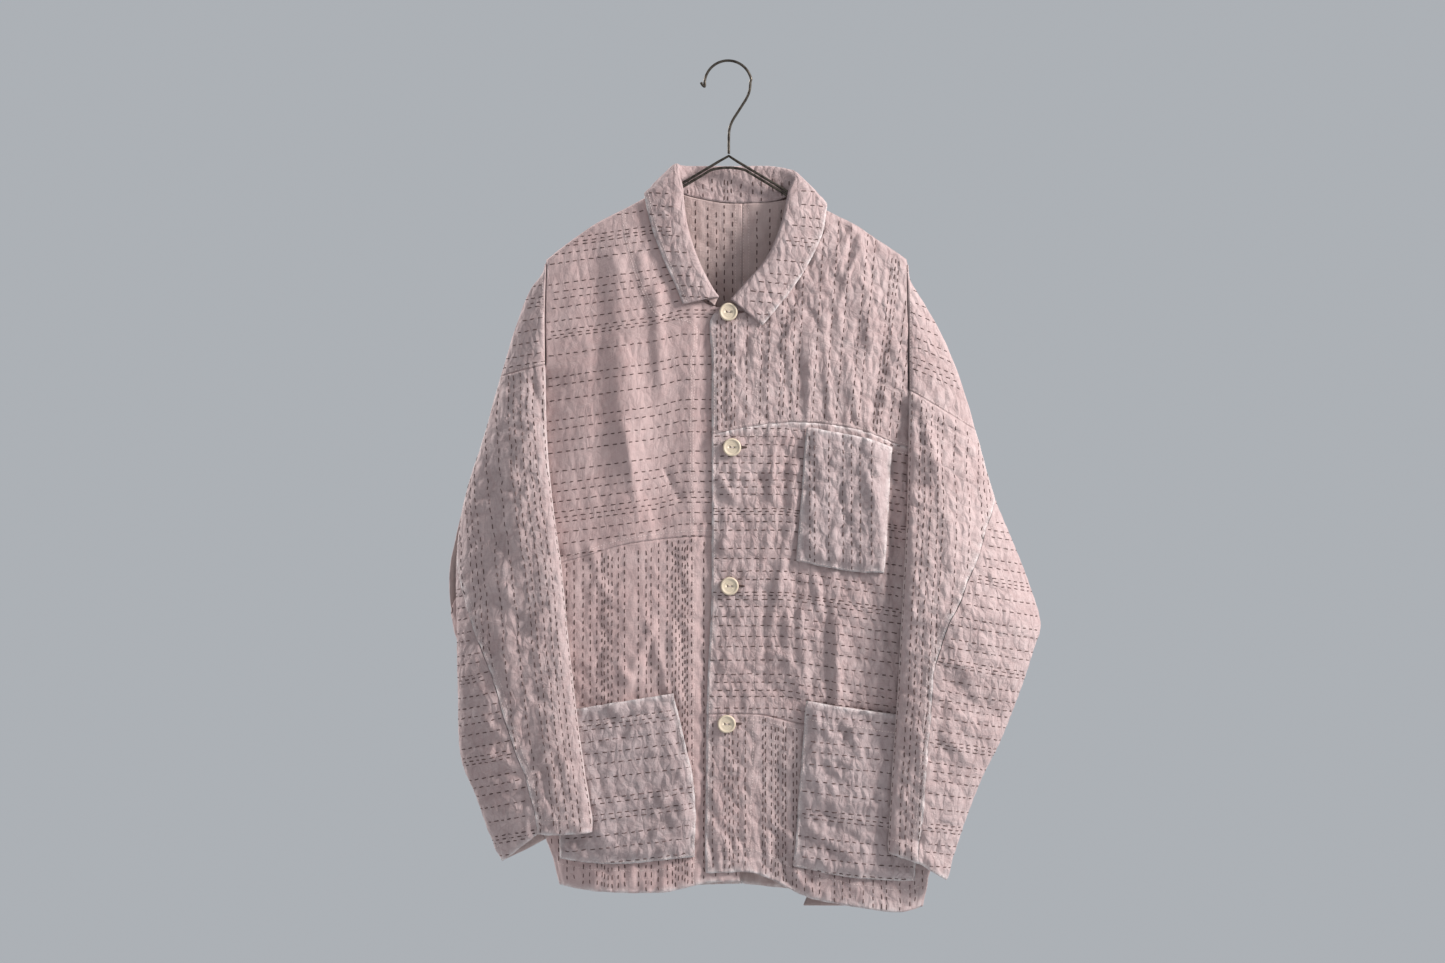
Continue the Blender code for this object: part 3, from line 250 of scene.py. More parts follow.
# Creases read off the photo: two ends in pixels, then the half width and height in millimetres. The
# height is as it was first judged, and CREASE_BOOST raises it to what the render needs to show it.
FRONT_CREASE_PIXELS = [(657, 290, 662, 395, 7, 2), (640, 255, 650, 300, 6, 1.5),
    (626, 428, 640, 520, 4.5, 2), (646, 500, 652, 540, 4, 1.5), (665, 470, 680, 500, 4, -1.5),
    (811, 326, 808, 421, 4, 2), (797, 337, 802, 413, 4, -1.5), (771, 320, 766, 404, 4, 1.5),
    (783, 360, 788, 416, 3.5, -1.5), (825, 371, 830, 421, 4, 1.8), (850, 360, 858, 421, 4, 1.5),
    (816, 287, 825, 348, 5, 1.5), (853, 236, 847, 273, 5, -1.5), (858, 273, 870, 298, 4, 1.5),
    (735, 337, 729, 405, 4, 1.5), (749, 326, 743, 376, 4, -1.2), (886, 326, 872, 419, 5, -1.5),
    (718, 477, 735, 500, 3.5, 2), (738, 463, 735, 486, 3.5, 1.5), (726, 511, 724, 553, 4, 1.5),
    (774, 438, 771, 494, 3.5, 1.5), (785, 449, 783, 503, 3.5, -1.5), (794, 461, 791, 531, 4, 1.5),
    (771, 517, 757, 595, 4, 1.5), (783, 553, 774, 618, 4, 1.8), (797, 567, 794, 618, 4, -1.5),
    (813, 573, 822, 618, 4, 1.6), (746, 570, 736, 635, 4, 1.5), (729, 620, 724, 679, 4, 1.2),
    (764, 605, 764, 679, 4, -1.5), (784, 595, 789, 664, 4, 1.8), (799, 610, 804, 689, 4.5, 2),
    (824, 600, 829, 699, 5, -2.5), (836, 625, 833, 699, 6, 2.5), (883, 575, 873, 699, 6, 1.5),
    (712, 784, 724, 819, 4, 1.8), (714, 819, 729, 848, 4, 1.5), (774, 841, 791, 881, 4, -2),
    (794, 866, 814, 893, 4, 2), (816, 714, 829, 734, 3.5, 1.8), (833, 712, 863, 734, 4, 1.5),
    (851, 734, 883, 754, 4, 1.2), (809, 824, 853, 853, 4, 1.8), (804, 846, 833, 866, 4, 1.5),
    (826, 819, 871, 841, 4, -1.5), (814, 774, 851, 799, 5, 1.2), (634, 667, 657, 620, 4, 1.5),
    (647, 677, 654, 635, 4, -1.2), (649, 620, 669, 689, 5, 2), (674, 635, 679, 699, 5, 2),
    (627, 734, 644, 714, 4, 1.6), (674, 699, 679, 749, 5, -1.8), (650, 809, 689, 764, 4, 2.2),
    (634, 853, 684, 811, 4, 2), (659, 849, 694, 829, 3.5, 1.8), (679, 784, 699, 811, 4, -1.5),
    (570, 841, 585, 853, 4, 1.8), (597, 846, 620, 853, 4, -1.5), (590, 760, 600, 830, 6, 1.5)]
SLEEVE_CREASE_PIXELS = [(535, 380, 555, 482, 5, -2.5), (504, 387, 514, 482, 5, 1.5),
    (484, 482, 501, 495, 3.5, 1.8), (474, 529, 507, 556, 3.5, 1.5), (491, 576, 528, 543, 3.5, 1.5),
    (504, 597, 541, 576, 3.5, -1.2), (521, 603, 548, 627, 3.5, 1.5), (480, 610, 507, 657, 4, 1.5),
    (507, 637, 518, 705, 4, 1.5), (541, 644, 555, 691, 4, 1.5), (528, 678, 562, 711, 3.5, -1.2),
    (541, 759, 558, 738, 4, 2), (551, 779, 575, 762, 3.5, 2), (545, 759, 551, 793, 3.5, -2),
    (565, 752, 575, 789, 3.5, 2), (558, 711, 568, 762, 4, 1.5), (470, 664, 494, 698, 4, 2),
    (474, 705, 507, 732, 4, 2), (477, 745, 514, 759, 4, 2), (487, 779, 521, 776, 4, 2),
    (497, 809, 535, 803, 4, 2), (921, 414, 934, 472, 4, 2), (917, 418, 921, 489, 4, -2),
    (955, 423, 963, 506, 4, 1.5), (938, 431, 942, 506, 4, -1.5), (967, 447, 992, 497, 4, 1.8),
    (975, 564, 1017, 597, 4, 1.5), (963, 605, 980, 647, 4, 1.8), (946, 638, 988, 721, 4, 1.5),
    (1004, 530, 1025, 572, 4, 1.5), (980, 680, 1017, 638, 4, -1.5), (926, 688, 963, 717, 4, 1.2),
    (921, 580, 926, 671, 4, 1.2), (909, 530, 905, 655, 5, 1.5), (940, 730, 975, 770, 4, 1.3)]

# Stitched rows read off the photo, as pixel rows or pixel columns
RIGHT_UPPER_PIXEL_ROWS = [217, 233.6, 238, 241, 248, 257, 278, 286, 293, 302, 315, 325, 329, 332, 349, 371,
    379, 394, 414, 423, 435, 446, 465, 477, 485, 495, 505.5, 511, 515.6, 526, 537, 549]
LEFT_UPPER_PIXEL_COLUMNS = [717, 721, 726.5, 731.5, 735, 747.5, 762.4, 770, 782.6, 787, 795, 802, 819,
    832.6, 845, 861, 869, 886.5, 890.7, 894, 905, 913]
RIGHT_LOWER_PIXEL_COLUMNS = [445, 453, 466, 475, 479, 483, 495, 507, 518, 529, 541, 549, 553, 560, 568.6,
    576, 584.8, 592, 598.5, 603.4, 606, 609.7, 613.4, 619.6, 625.8, 639.5, 647, 652, 659.4, 668, 673, 676.3,
    679.3, 683, 685.5, 688, 692, 704, 716, 728, 736]
LEFT_MIDDLE_PIXEL_ROWS = [429, 437, 445, 456.5, 463.5, 473, 480, 487, 494, 508.4, 511, 514, 521, 529.5,
    547.7, 557.5, 570, 578, 591, 594, 598, 605, 615, 624, 634.6, 644.6, 658, 672, 680, 688, 694, 705.5, 714]
LEFT_LOWER_PIXEL_COLUMNS = [713, 725, 729, 733, 737.8, 745, 762.6, 765, 771, 775, 777.6, 782.5, 785, 792.5,
    796, 803.7, 811, 818.6, 833.5, 841, 848.5, 861, 871, 879.6, 884.5, 898, 908, 913, 920.6, 930, 938, 951,
    960, 968]
CHEST_POCKET_PIXEL_COLUMNS = [809, 813.5, 827.5, 841.6, 850, 858.4, 869.6]
LEFT_POCKET_PIXEL_ROWS = [703, 715.5, 729, 739, 751.5, 767.7, 779, 796, 801, 805, 823.7, 833.6, 843.6, 856]
RIGHT_POCKET_PIXEL_ROWS = [701, 706, 710, 722, 734, 745, 759, 779, 784, 795, 800, 816, 828.7, 843.6, 850]
COLLAR_PIXEL_ROWS = [186, 200, 213, 222, 234, 238, 242, 258, 272, 281, 291, 301, 313]
SHOULDER_PIXEL_ROWS = [268, 277, 289, 301, 306, 310, 322, 333, 345, 357, 366, 377, 383, 389]

# Stitched rows inside the back of the neck, and down the sleeves from their inner edge
NECK_INSIDE_COLUMNS = [-57, -46, -34, -21, -12, -4, 5, 30.5, 44, 56]
SLEEVE_COLUMNS = [5, 16, 22, 29, 37, 43, 58, 74, 90, 97, 104, 118, 131, 135, 139, 152]

# The back's creases, made up
BACK_CREASES = [((-140, -240), (-80, -330), 9, 5.0), ((150, -250), (95, -350), 9, 5.0),
    ((-60, -300), (-75, -420), 7, -3.6), ((70, -330), (85, -470), 7, -3.6),
    ((-200, -430), (-120, -520), 8, 5.0), ((215, -440), (130, -540), 8, 5.0),
    ((-225, -470), (-150, -590), 6, -4.0), ((250, -480), (170, -600), 6, -4.0),
    ((-150, -600), (-110, -700), 7, 4.4), ((150, -620), (120, -740), 7, 4.4),
    ((-30, -620), (-45, -760), 7, 3.6), ((40, -650), (30, -780), 7, -3.6),
    ((-150, -760), (-130, -850), 7, 4.6), ((165, -770), (150, -860), 7, 4.6),
    ((-105, -350), (-95, -520), 6, 3.6), ((115, -370), (105, -560), 6, 3.6),
    ((-20, -330), (-10, -500), 6, 3.0), ((-90, -700), (-70, -860), 6, -3.6),
    ((95, -690), (110, -860), 6, -3.6), ((190, -640), (175, -760), 6, 3.6),
    ((-190, -640), (-165, -740), 6, 3.6), ((25, -300), (30, -420), 5, 2.6)]

# How far apart the cloth's points lie in front, on the back and on the collar
CELL = 2.9
HIDDEN_CELL = 3.8
COLLAR_CELL = 3.2

# Hems, turnings and felled seams, and the cloth's face as measured from its middle
HEM_WIDTH = 27.0
CUFF_HEM = 19.0
POCKET_HEM = 22.0
POCKET_TURNING = 4.0
FACING_WIDTH = 52.0
FELL_WIDTH = 8.0
YOKE_FELL = 11.0
COLLAR_TURNING = 6.0
EDGE_SEWING = 3.0
FACE = WALL / 2

# Running stitches of thick thread, as least and greatest length and gap
DASH_LENGTH = (4.2, 7.0)
DASH_GAP = (2.4, 3.6)
DASH_WIDTH = 1.2

# Pale sewing. Its real thread is about 0.3 thick, too fine to show, so it is drawn coarser.
SEWN_LENGTH = (2.2, 2.7)
SEWN_GAP = (0.5, 0.8)
SEWN_WIDTH = 0.5

# Where the inside of the back shows in the neck
SEEN_INSIDE_Z = -300.0
SEEN_INSIDE_X = 80.0

# Crumples in the cloth's form: how far apart their facets lie, and how many places the facets are drawn
# from in each direction before they repeat
BODY_FACET = 19.0
SMALL_BODY_FACET = 9.5
SLEEVE_FACET = 17.0
SMALL_SLEEVE_FACET = 9.0
SHOULDER_FACET = 15.0
POCKET_FACET = 14.0
COLLAR_FACET = 12.0
FACET_PLACES = 64

# Finishes: the real size of what repeats in each one, and how far it stands up
DYE_PATCH = 91.0
DYE_MOTTLE = 11.8
SLUB_THICKNESS = 2 / 3
SLUB_LENGTH = 22.0
SLUB_RELIEF = 0.6
LARGE_CRUMPLE = 21.7
LARGE_CRUMPLE_RELIEF = 3.0
SMALL_CRUMPLE = 9.5
SMALL_CRUMPLE_RELIEF = 3.4
CRINKLE = 13.3
CRINKLE_RELIEF = 2.2
THREAD_DYE = 16.7
NUT_RING = 1.96
WIRE_SPOT = 4.55

# The real weave has about three threads in this width. They are too fine to show, so it is drawn coarser.
WEAVE_REPEAT = 1.21
WEAVE_RELIEF = 0.2

# Sockets of the node that mixes two colours
SHARE = 0
FIRST = 6
SECOND = 7
MIXED = 2

# Studio, in metres
FLOOR_RADIUS = 2.9
FLOOR_Z = -1.55
CAMERA_PLACE = (-0.0058, -2.6, -0.4405)

# Camera
SENSOR_WIDTH = 36.0
LENS_LENGTH = 61.7


def across_photo(pixels):
    """Places x of pixel columns."""
    return [round((pixel - ZERO_COLUMN) * PIXEL_SIZE, 1) for pixel in pixels]


def down_photo(pixels):
    """Heights z of pixel rows."""
    return [round((ZERO_ROW - pixel) * PIXEL_SIZE, 1) for pixel in pixels]


def creases_from(readings):
    """Creases as (x, z) to (x, z), half width and height, from their readings in the photo."""
    made = []
    for start_column, start_row, end_column, end_row, width, height in readings:
        x0, x1 = [round((column - ZERO_COLUMN) * PIXEL_SIZE) for column in (start_column, end_column)]
        z0, z1 = [round((ZERO_ROW - row) * PIXEL_SIZE) for row in (start_row, end_row)]
        made.append(((x0, z0), (x1, z1), width, round(height * CREASE_BOOST, 1)))
    return made


def smooth_step(value):
    """0 below 0, 1 above 1 and a soft ramp between."""
    ramp = np.clip(value, 0.0, 1.0)
    return ramp * ramp * (3.0 - 2.0 * ramp)


def curve_through(rows, cuts):
    """Points on centripetal curves through rows of points, with each gap cut into its own number of parts."""
    rows = np.concatenate([2 * rows[:1] - rows[1:2], rows, 2 * rows[-1:] - rows[-2:-1]])
    steps = np.linalg.norm(np.diff(rows, axis=0), axis=-1)
    steps = steps.reshape(len(steps), -1).mean(axis=1) ** 0.5
    dense = []
    for k, cut in enumerate(cuts):
        a, b, c, d = rows[k:k + 4]
        t1 = steps[k]
        t2 = t1 + steps[k + 1]
        t3 = t2 + steps[k + 2]
        for t in np.linspace(t1, t2, cut, endpoint=False):
            ab = a + (b - a) * t / t1
            bc = b + (c - b) * (t - t1) / (t2 - t1)
            cd = c + (d - c) * (t - t2) / (t3 - t2)
            abc = ab + (bc - ab) * t / t2
            bcd = bc + (cd - bc) * (t - t1) / (t3 - t1)
            dense.append(abc + (bcd - abc) * (t - t1) / (t2 - t1))
    dense.append(rows[-2])
    return np.array(dense)


def smooth_line(points, steps=8):
    """A dense smooth curve through the points."""
    knots = np.array(points, float)
    return curve_through(knots, [steps] * (len(knots) - 1))


def lengths(line):
    """Running length of a line, from 0 to 1."""
    steps = np.linalg.norm(np.diff(line, axis=0), axis=1)
    running = np.concatenate([[0.0], np.cumsum(steps)])
    return running / running[-1]


def at(line, fractions):
    """Points at the given fractions of a line's length."""
    running = lengths(line)
    return np.stack([np.interp(fractions, running, line[:, k]) for k in range(line.shape[1])], axis=-1)


def stretch(points, start, end, cells):
    """A line from one of its points to another, cut into equal cells."""
    line = smooth_line(points)
    first = int(np.argmin(np.linalg.norm(line - np.array(start), axis=1)))
    last = int(np.argmin(np.linalg.norm(line - np.array(end), axis=1)))
    part = np.vstack([[start], line[first + 1:last], [end]])
    fractions = np.linspace(0, 1, cells + 1) if np.isscalar(cells) else np.array(cells)
    return at(part, fractions)


def chain(*runs):
    """Runs of points joined end to end."""
    return np.vstack([runs[0]] + [run[1:] for run in runs[1:]])


def shoulder_steps(cells):
    """Fractions that lie close together at the start, where cloth folds over the wire."""
    return np.concatenate([[0, 0.012, 0.035, 0.1], np.linspace(0.1, 1, cells - 2)[1:]])


def coons(top, bottom, inner, outer):
    """A grid of (x, z) between four edges; rows run from top to bottom, columns from inner to outer."""
    inner = np.vstack([top[:1], inner[1:-1], bottom[:1]])
    outer = np.vstack([top[-1:], outer[1:-1], bottom[-1:]])
    u = ((lengths(top) + lengths(bottom)) / 2)[None, :, None]
    v = ((lengths(inner) + lengths(outer)) / 2)[:, None, None]
    corners = (1 - u) * (1 - v) * top[0] + u * (1 - v) * top[-1]
    corners = corners + (1 - u) * v * bottom[0] + u * v * bottom[-1]
    return (1 - u) * inner[:, None] + u * outer[:, None] + (1 - v) * top[None] + v * bottom[None] - corners


def side_width(x, z):
    """Half width of the body's outline at a height, on the side of x."""
    right = np.array(RIGHT_SIDE, float)
    left = np.array(LEFT_SIDE, float)
    wide_right = np.interp(-z, -right[:, 1], -right[:, 0])
    wide_left = np.interp(-z, -left[:, 1], left[:, 0])
    return np.where(x < 0, wide_right, wide_left)


def shoulder_height(x):
    """Height of the shoulder line above x."""
    line = np.array(RIGHT_SHOULDER[::-1] + LEFT_SHOULDER, float)
    neck = np.array([(0, APEX[1] + 5.0)])
    line = np.vstack([line[:len(RIGHT_SHOULDER)], neck, line[len(RIGHT_SHOULDER):]])
    return np.interp(x, line[:, 0], line[:, 1])


def fold_height(x, z, folds):
    """Height of the folds and creases at each point."""
    x, z = np.asarray(x, float), np.asarray(z, float)
    total = np.zeros(x.shape)
    for start, end, width, height in folds:
        (x0, z0), (x1, z1) = start, end
        reach = 2.6 * width + 0.16 * (abs(x1 - x0) + abs(z1 - z0))
        near = (x > min(x0, x1) - reach) & (x < max(x0, x1) + reach)
        near &= (z > min(z0, z1) - reach) & (z < max(z0, z1) + reach)
        if not near.any():
            continue
        long = math.hypot(x1 - x0, z1 - z0)
        dx, dz = x[near] - x0, z[near] - z0
        share = (dx * (x1 - x0) + dz * (z1 - z0)) / long ** 2
        across = (dx * (z1 - z0) - dz * (x1 - x0)) / long
        ends = smooth_step(share * 4 + 0.6) * smooth_step((1 - share) * 4 + 0.6)
        crispness = 1.3 if width < 5.0 else 2.0
        total[near] += height * ends * np.exp(-np.abs(across / width) ** crispness)
    return total


def crumples(x, z, facet, lean=0.3):
    """Washed-in crumples from 0 to about 1: flat facets, longer downwards, that meet in crisp creases."""
    u = (x + lean * z) / facet
    v = (z - lean * 0.5 * x) / (facet * 1.7)
    places = seeded(3).uniform(0.08, 0.92, (FACET_PLACES, FACET_PLACES, 2))
    column, row = np.floor(u).astype(int), np.floor(v).astype(int)
    nearest = np.full(u.shape, 9.0)
    second = nearest.copy()
    for across in (-1, 0, 1):
        for up in (-1, 0, 1):
            spot = places[(column + across) % FACET_PLACES, (row + up) % FACET_PLACES]
            away = np.hypot(column + across + spot[..., 0] - u, row + up + spot[..., 1] - v)
            second = np.minimum(second, np.maximum(nearest, away))
            nearest = np.minimum(nearest, away)
    return np.minimum(second - nearest, 0.9)


def body_crumples(x, z):
    """Crumples of the body's panels in mm, slight on the softly hung upper right front."""
    crisp = 1 - 0.7 * smooth_step((-10 - x) / 14) * smooth_step((z + 506) / 14)
    return crisp * (1.5 * crumples(x, z, BODY_FACET) + 0.8 * crumples(x, z, SMALL_BODY_FACET, -0.4) - 0.8)


def body_depth(x, z, shoulder_fullness, lower_fullness, folds):
    """Distance of the body cloth's middle from the hanger's plane."""
    below = np.maximum(shoulder_height(x) - z, 0.0)
    over_wire = FOLD_OVER_WIRE * np.sqrt(1 - (1 - np.minimum(below / FOLD_OVER_WIRE, 1)) ** 2)
    inside = np.clip((side_width(x, z) - np.abs(x)) / SIDE_ROUNDING, 0, 1)
    underarm_z = np.where(x < 0, RIGHT_FOLD_START[1], LEFT_FOLD_START[1])
    closing = smooth_step((z - underarm_z) / UNDERARM_BLEND)
    near_underarm = closing * smooth_step((UNDERARM_TOP_Z - z) / UNDERARM_REACH)
    rounding = np.sqrt(1 - (1 - inside) ** 2) * (1 - near_underarm) + smooth_step(inside) * near_underarm
    closed = np.sqrt(1 - (1 - np.minimum(inside / 0.04, 1)) ** 2)
    over_wire = over_wire * (1 - closing + closing * closed)
    fullness = shoulder_fullness * (1 - np.exp(-below / SHOULDER_FALL))
    fullness = fullness + lower_fullness * smooth_step(below / LOWER_FALL)
    edge_share = (SIDE_EDGE_DEPTH - FOLD_OVER_WIRE) / np.maximum(fullness, 10) * (1 - closing)
    rounding = edge_share + (1 - edge_share) * rounding
    soft = (fold_height(x, z, folds) + body_crumples(x, z)) * smooth_step(inside * 4)
    least = SHOULDER_SETBACK + (SEAM_GAP / 2 + WALL / 2 - SHOULDER_SETBACK) * closing * smooth_step(below / 6)
    return np.maximum(least, over_wire + fullness * rounding + soft)


def front_y(x, z):
    """Depth of the front panels' middle surface."""
    seam_z = np.where(x < 0, RIGHT_SEAM_TOP_Z, LEFT_SEAM_TOP_Z)
    tuck = TUCK_DEPTH * smooth_step((seam_z - z) / TUCK_START)
    tuck = tuck * smooth_step((z - seam_z + TUCK_LENGTH) / TUCK_FADE)
    tuck = tuck * np.exp(-((np.abs(x) - TUCK_X) / TUCK_HALF_WIDTH) ** 2)
    return tuck - body_depth(x, z, FRONT_SHOULDER_FULLNESS, FRONT_LOWER_FULLNESS,
                             FRONT_FOLDS + FRONT_CREASES + FRONT_CRINKLES)


def back_y(x, z):
    """Depth of the back panels' middle surface."""
    return body_depth(x, z, BACK_SHOULDER_FULLNESS, BACK_LOWER_FULLNESS,
                      BACK_FOLDS + BACK_CREASES + BACK_CRINKLES)


def lift(grid, depth):
    """A grid of (x, z) with its depth, as (x, y, z)."""
    return np.stack([grid[..., 0], depth, grid[..., 1]], axis=-1)


def side_fold(edge, underarm_x, face):
    """The cloth that folds inwards at the side, from the edge column of a grid."""
    side = math.copysign(1.0, underarm_x)
    deep = np.abs(underarm_x) - np.abs(edge[:, 0])
    columns = [edge]
    turn = np.clip((np.abs(edge[:, 1]) - (WALL + SEAM_GAP) / 2) / 2, 0, SIDE_FOLD_RADIUS)
    for angle in (45, 90, 135, 180):
        swing = math.radians(angle)
        column = edge.copy()
        column[:, 0] += side * turn * math.sin(swing)
        column[:, 1] -= face * turn * (1 - math.cos(swing))
        columns.append(column)
    flap = columns[-1]
    for share in (0.5, 1.0):
        column = flap.copy()
        column[:, 0] -= side * deep * share
        closed = face * (WALL + SEAM_GAP) / 2
        column[:, 1] = flap[:, 1] + (closed - flap[:, 1]) * share
        columns.append(column)
    return np.stack(columns, axis=1)


def bulge(share):
    """Rounded profile between two folded edges."""
    return np.power(2 * np.sqrt(np.clip(share * (1 - share), 0, 0.25)), 0.8)


def under_overlap(x):
    """How far the right front passes behind the left front."""
    return LAYER_STEP * smooth_step((x + 40) / 14)


def placket_edge(top_z, bottom_z, cells):
    """Points down the left front's overlapping edge."""
    edge = np.array(OVERLAP_EDGE, float)
    heights = np.linspace(top_z, bottom_z, cells + 1)
    return np.stack([np.interp(-heights, -edge[:, 1], edge[:, 0]), heights], axis=1)


def sleeve_surface(shape, t, s, seen):
    """Points of a sleeve at t down its length and s across it, on the seen or the hidden side."""
    inner = at(smooth_line(shape["inner"]), t)
    outer = at(smooth_line(shape["outer"]), t)
    flat = inner + (outer - inner) * s[..., None]
    hem = np.array(shape["seen_hem"] if seen else shape["hidden_hem"], float)
    cuff = smooth_step((t - 1 + CUFF_ZONE) / CUFF_ZONE)
    flat[..., 1] += np.interp(s, hem[:, 0], hem[:, 1]) * cuff
    x, z = flat[..., 0], flat[..., 1]
    clear = LAYER_STEP + 0.8 + 3.0 * smooth_step((-545 - z) / 30)
    ridge_y = front_y(inner[..., 0], inner[..., 1])
    inner_y = ridge_y - (LAYER_STEP + 2.6 + 3.0 * smooth_step((-520 - z) / 40)) * smooth_step(t / 0.05)
    underarm = shape["underarm"]
    forward = smooth_step((t - underarm + 0.12) / 0.26)
    outer_y = 0.4 - (WALL + SEAM_GAP) / 2 + (SLEEVE_OUTER_DEPTH + 1) * forward
    edge_y = inner_y + (outer_y - inner_y) * s
    if seen:
        rise = np.array(SLEEVE_FRONT_BULGE, float)
        y = edge_y - np.interp(t, rise[:, 0], rise[:, 1]) * bulge(s)
        creased = fold_height(x, z, SLEEVE_FOLDS + SLEEVE_CREASES + SLEEVE_CRINKLES)
        creased = creased + 1.8 * crumples(x, z, SLEEVE_FACET, -0.35) + crumples(x, z, SMALL_SLEEVE_FACET)
        y = y - creased * bulge(s)
    else:
        nominal = edge_y + SLEEVE_BACK_BULGE * bulge(s)
        over_body = np.abs(x) < side_width(x, z) + 6
        y = np.where(over_body, np.minimum(nominal, front_y(x, z) - clear), nominal)
        y = np.where(s <= 0, edge_y, y)
    return np.stack([x, y, z], axis=-1)


def seeded(seed):
    """A repeatable source of chance."""
    return np.random.default_rng(seed)


def crinkles(seed, count, low, high, lean, tallest):
    """Small crisp creases inside a box of (x, z), most of them along one lean from upright."""
    chance = seeded(seed)
    made = []
    for _ in range(count):
        x, z = chance.uniform(low, high)
        angle = math.radians(chance.normal(lean * chance.choice((-1, 1)), 22))
        reach = chance.uniform(16, 46)
        end = (x + reach * math.sin(angle), z - reach * math.cos(angle))
        width = chance.uniform(2.6, 4.4)
        height = chance.uniform(0.35, 1) * tallest * chance.choice((1, -1))
        made.append(((x, z), end, width, height))
    return made


def finer(grid, cell=CELL):
    """The same grid with more points, about one cell apart, on smooth curves through its own."""
    for axis in (0, 1):
        rows = np.moveaxis(grid, axis, 0)
        longest = np.linalg.norm(np.diff(rows, axis=0), axis=-1).max(axis=1)
        cuts = np.maximum(np.round(longest / cell), 1).astype(int)
        grid = np.moveaxis(curve_through(rows, cuts), 0, axis)
    return grid


def subdivide(fractions, cell, length):
    """Fractions of a length with more of them between, about one cell apart."""
    parts = []
    for start, end in zip(fractions, fractions[1:]):
        cuts = max(int(round((end - start) * length / cell)), 1)
        parts.append(np.linspace(start, end, cuts, endpoint=False))
    return np.concatenate(parts + [[fractions[-1]]])


def run_lengths(grid, axis):
    """Running length along one axis of a grid of points."""
    steps = np.linalg.norm(np.diff(grid, axis=axis), axis=-1)
    zero = np.zeros_like(np.take(steps, [0], axis=axis))
    return np.concatenate([zero, np.cumsum(steps, axis=axis)], axis=axis)


def outward(grid, towards):
    """Directions square to the cloth, on the side of a given direction."""
    down = np.gradient(grid, axis=0)
    across = np.gradient(grid, axis=1)
    square = np.cross(down, across)
    square = square / np.maximum(np.linalg.norm(square, axis=-1, keepdims=True), 1e-9)
    mean = (square * np.array(towards, float)).sum(axis=-1).mean()
    return square if mean > 0 else -square


def edge_distances(grid):
    """Distance of every point from the top, bottom, inner and outer edge of its panel."""
    down = run_lengths(grid, 0)
    across = run_lengths(grid, 1)
    return dict(top=down, bottom=down[-1:] - down, inner=across, outer=across[:, -1:] - across)


def sewn_edges(grid, towards, edges, seed=1):
    """The panel with its hems and felled edges: a raised double layer, a stitched groove and puckers. Each
    band is its edge, its width, its height and how much it puckers."""
    square = outward(grid, towards)
    away = edge_distances(grid)
    along = dict(top=run_lengths(grid, 1), bottom=run_lengths(grid, 1), inner=run_lengths(grid, 0),
                 outer=run_lengths(grid, 0))
    chance = seeded(seed)
    rise = np.zeros(grid.shape[:2])
    for edge, width, height, pucker in edges:
        near = away[edge]
        rise += height * (1 - smooth_step((near - width + 1.5) / 3))
        rise -= 0.35 * np.exp(-((near - width + 3) / 2.2) ** 2)
        wave = np.zeros_like(rise)
        for _ in range(4):
            turns = along[edge] * math.tau / chance.uniform(8, 19)
            wave += np.sin(turns + chance.uniform(0, 6) + near * 0.12)
        wave *= 0.25 * pucker * np.exp(-((near - width) / (width * 0.35 + 7)) ** 2)
        rise += wave * smooth_step((near + 1.5) / 5)
    return grid + square * rise[..., None]


def stitched_ribs(grid, towards, field, rows, height=0.4):
    """The cloth stands a little higher between its stitched rows."""
    order = np.sort(np.array(rows, float))
    place = np.interp(field, order, np.arange(len(order)))
    rise = height * np.sin(math.pi * (place % 1.0)) ** 2
    return grid + outward(grid, towards) * rise[..., None]


def spread(start, end, seed):
    """Uneven rows: single rows 7 to 17 mm apart, and close groups of three about every 90 mm."""
    chance = seeded(seed)
    rows = []
    place = start
    until_group = chance.uniform(30, 80)
    while place < end:
        rows.append(place)
        step = chance.uniform(7, 17)
        until_group -= step
        if until_group < 0:
            rows += [place + 3.6, place + 7.4]
            step += 7
            until_group = chance.uniform(60, 100)
        place += step
    return rows


def crossings(field, level):
    """Where a field of values crosses a level: the row, the share towards the next row, and if it does."""
    apart = field - level
    crosses = apart[:-1] * apart[1:] <= 0
    row = crosses.argmax(axis=0)
    column = np.arange(field.shape[1])
    before = apart[row, column]
    after = apart[row + 1, column]
    share = np.clip(before / np.where(before == after, 1, before - after), 0, 1)
    return row, share, crosses.any(axis=0)


def rows_on(grid, towards, field, levels, keep=None):
    """Lines on a panel where its field has the given levels, as pairs of points and outward directions."""
    square = outward(grid, towards)
    lines = []
    column = np.arange(grid.shape[1])
    for level in levels:
        row, share, found = crossings(field, level)
        share = share[:, None]
        points = grid[row, column] * (1 - share) + grid[row + 1, column] * share
        facing = square[row, column] * (1 - share) + square[row + 1, column] * share
        if keep is not None:
            found = found & keep(points)
        ends = np.flatnonzero(np.diff(np.concatenate([[0], found.astype(int), [0]])))
        for first, last in zip(ends[::2], ends[1::2]):
            if last - first > 1:
                lines.append((points[first:last], facing[first:last]))
    return lines


def columns_on(grid, towards, field, levels, keep=None):
    """Lines that run down the panel, from a field that changes across it."""
    return rows_on(grid.transpose(1, 0, 2), towards, field.T, levels, keep)


def edge_rows(grid, towards, edge, distances, keep=None):
    """Lines of sewing at given distances inside one edge of a panel."""
    away = edge_distances(grid)[edge]
    place = rows_on if edge in ("top", "bottom") else columns_on
    return place(grid, towards, away, distances, keep)


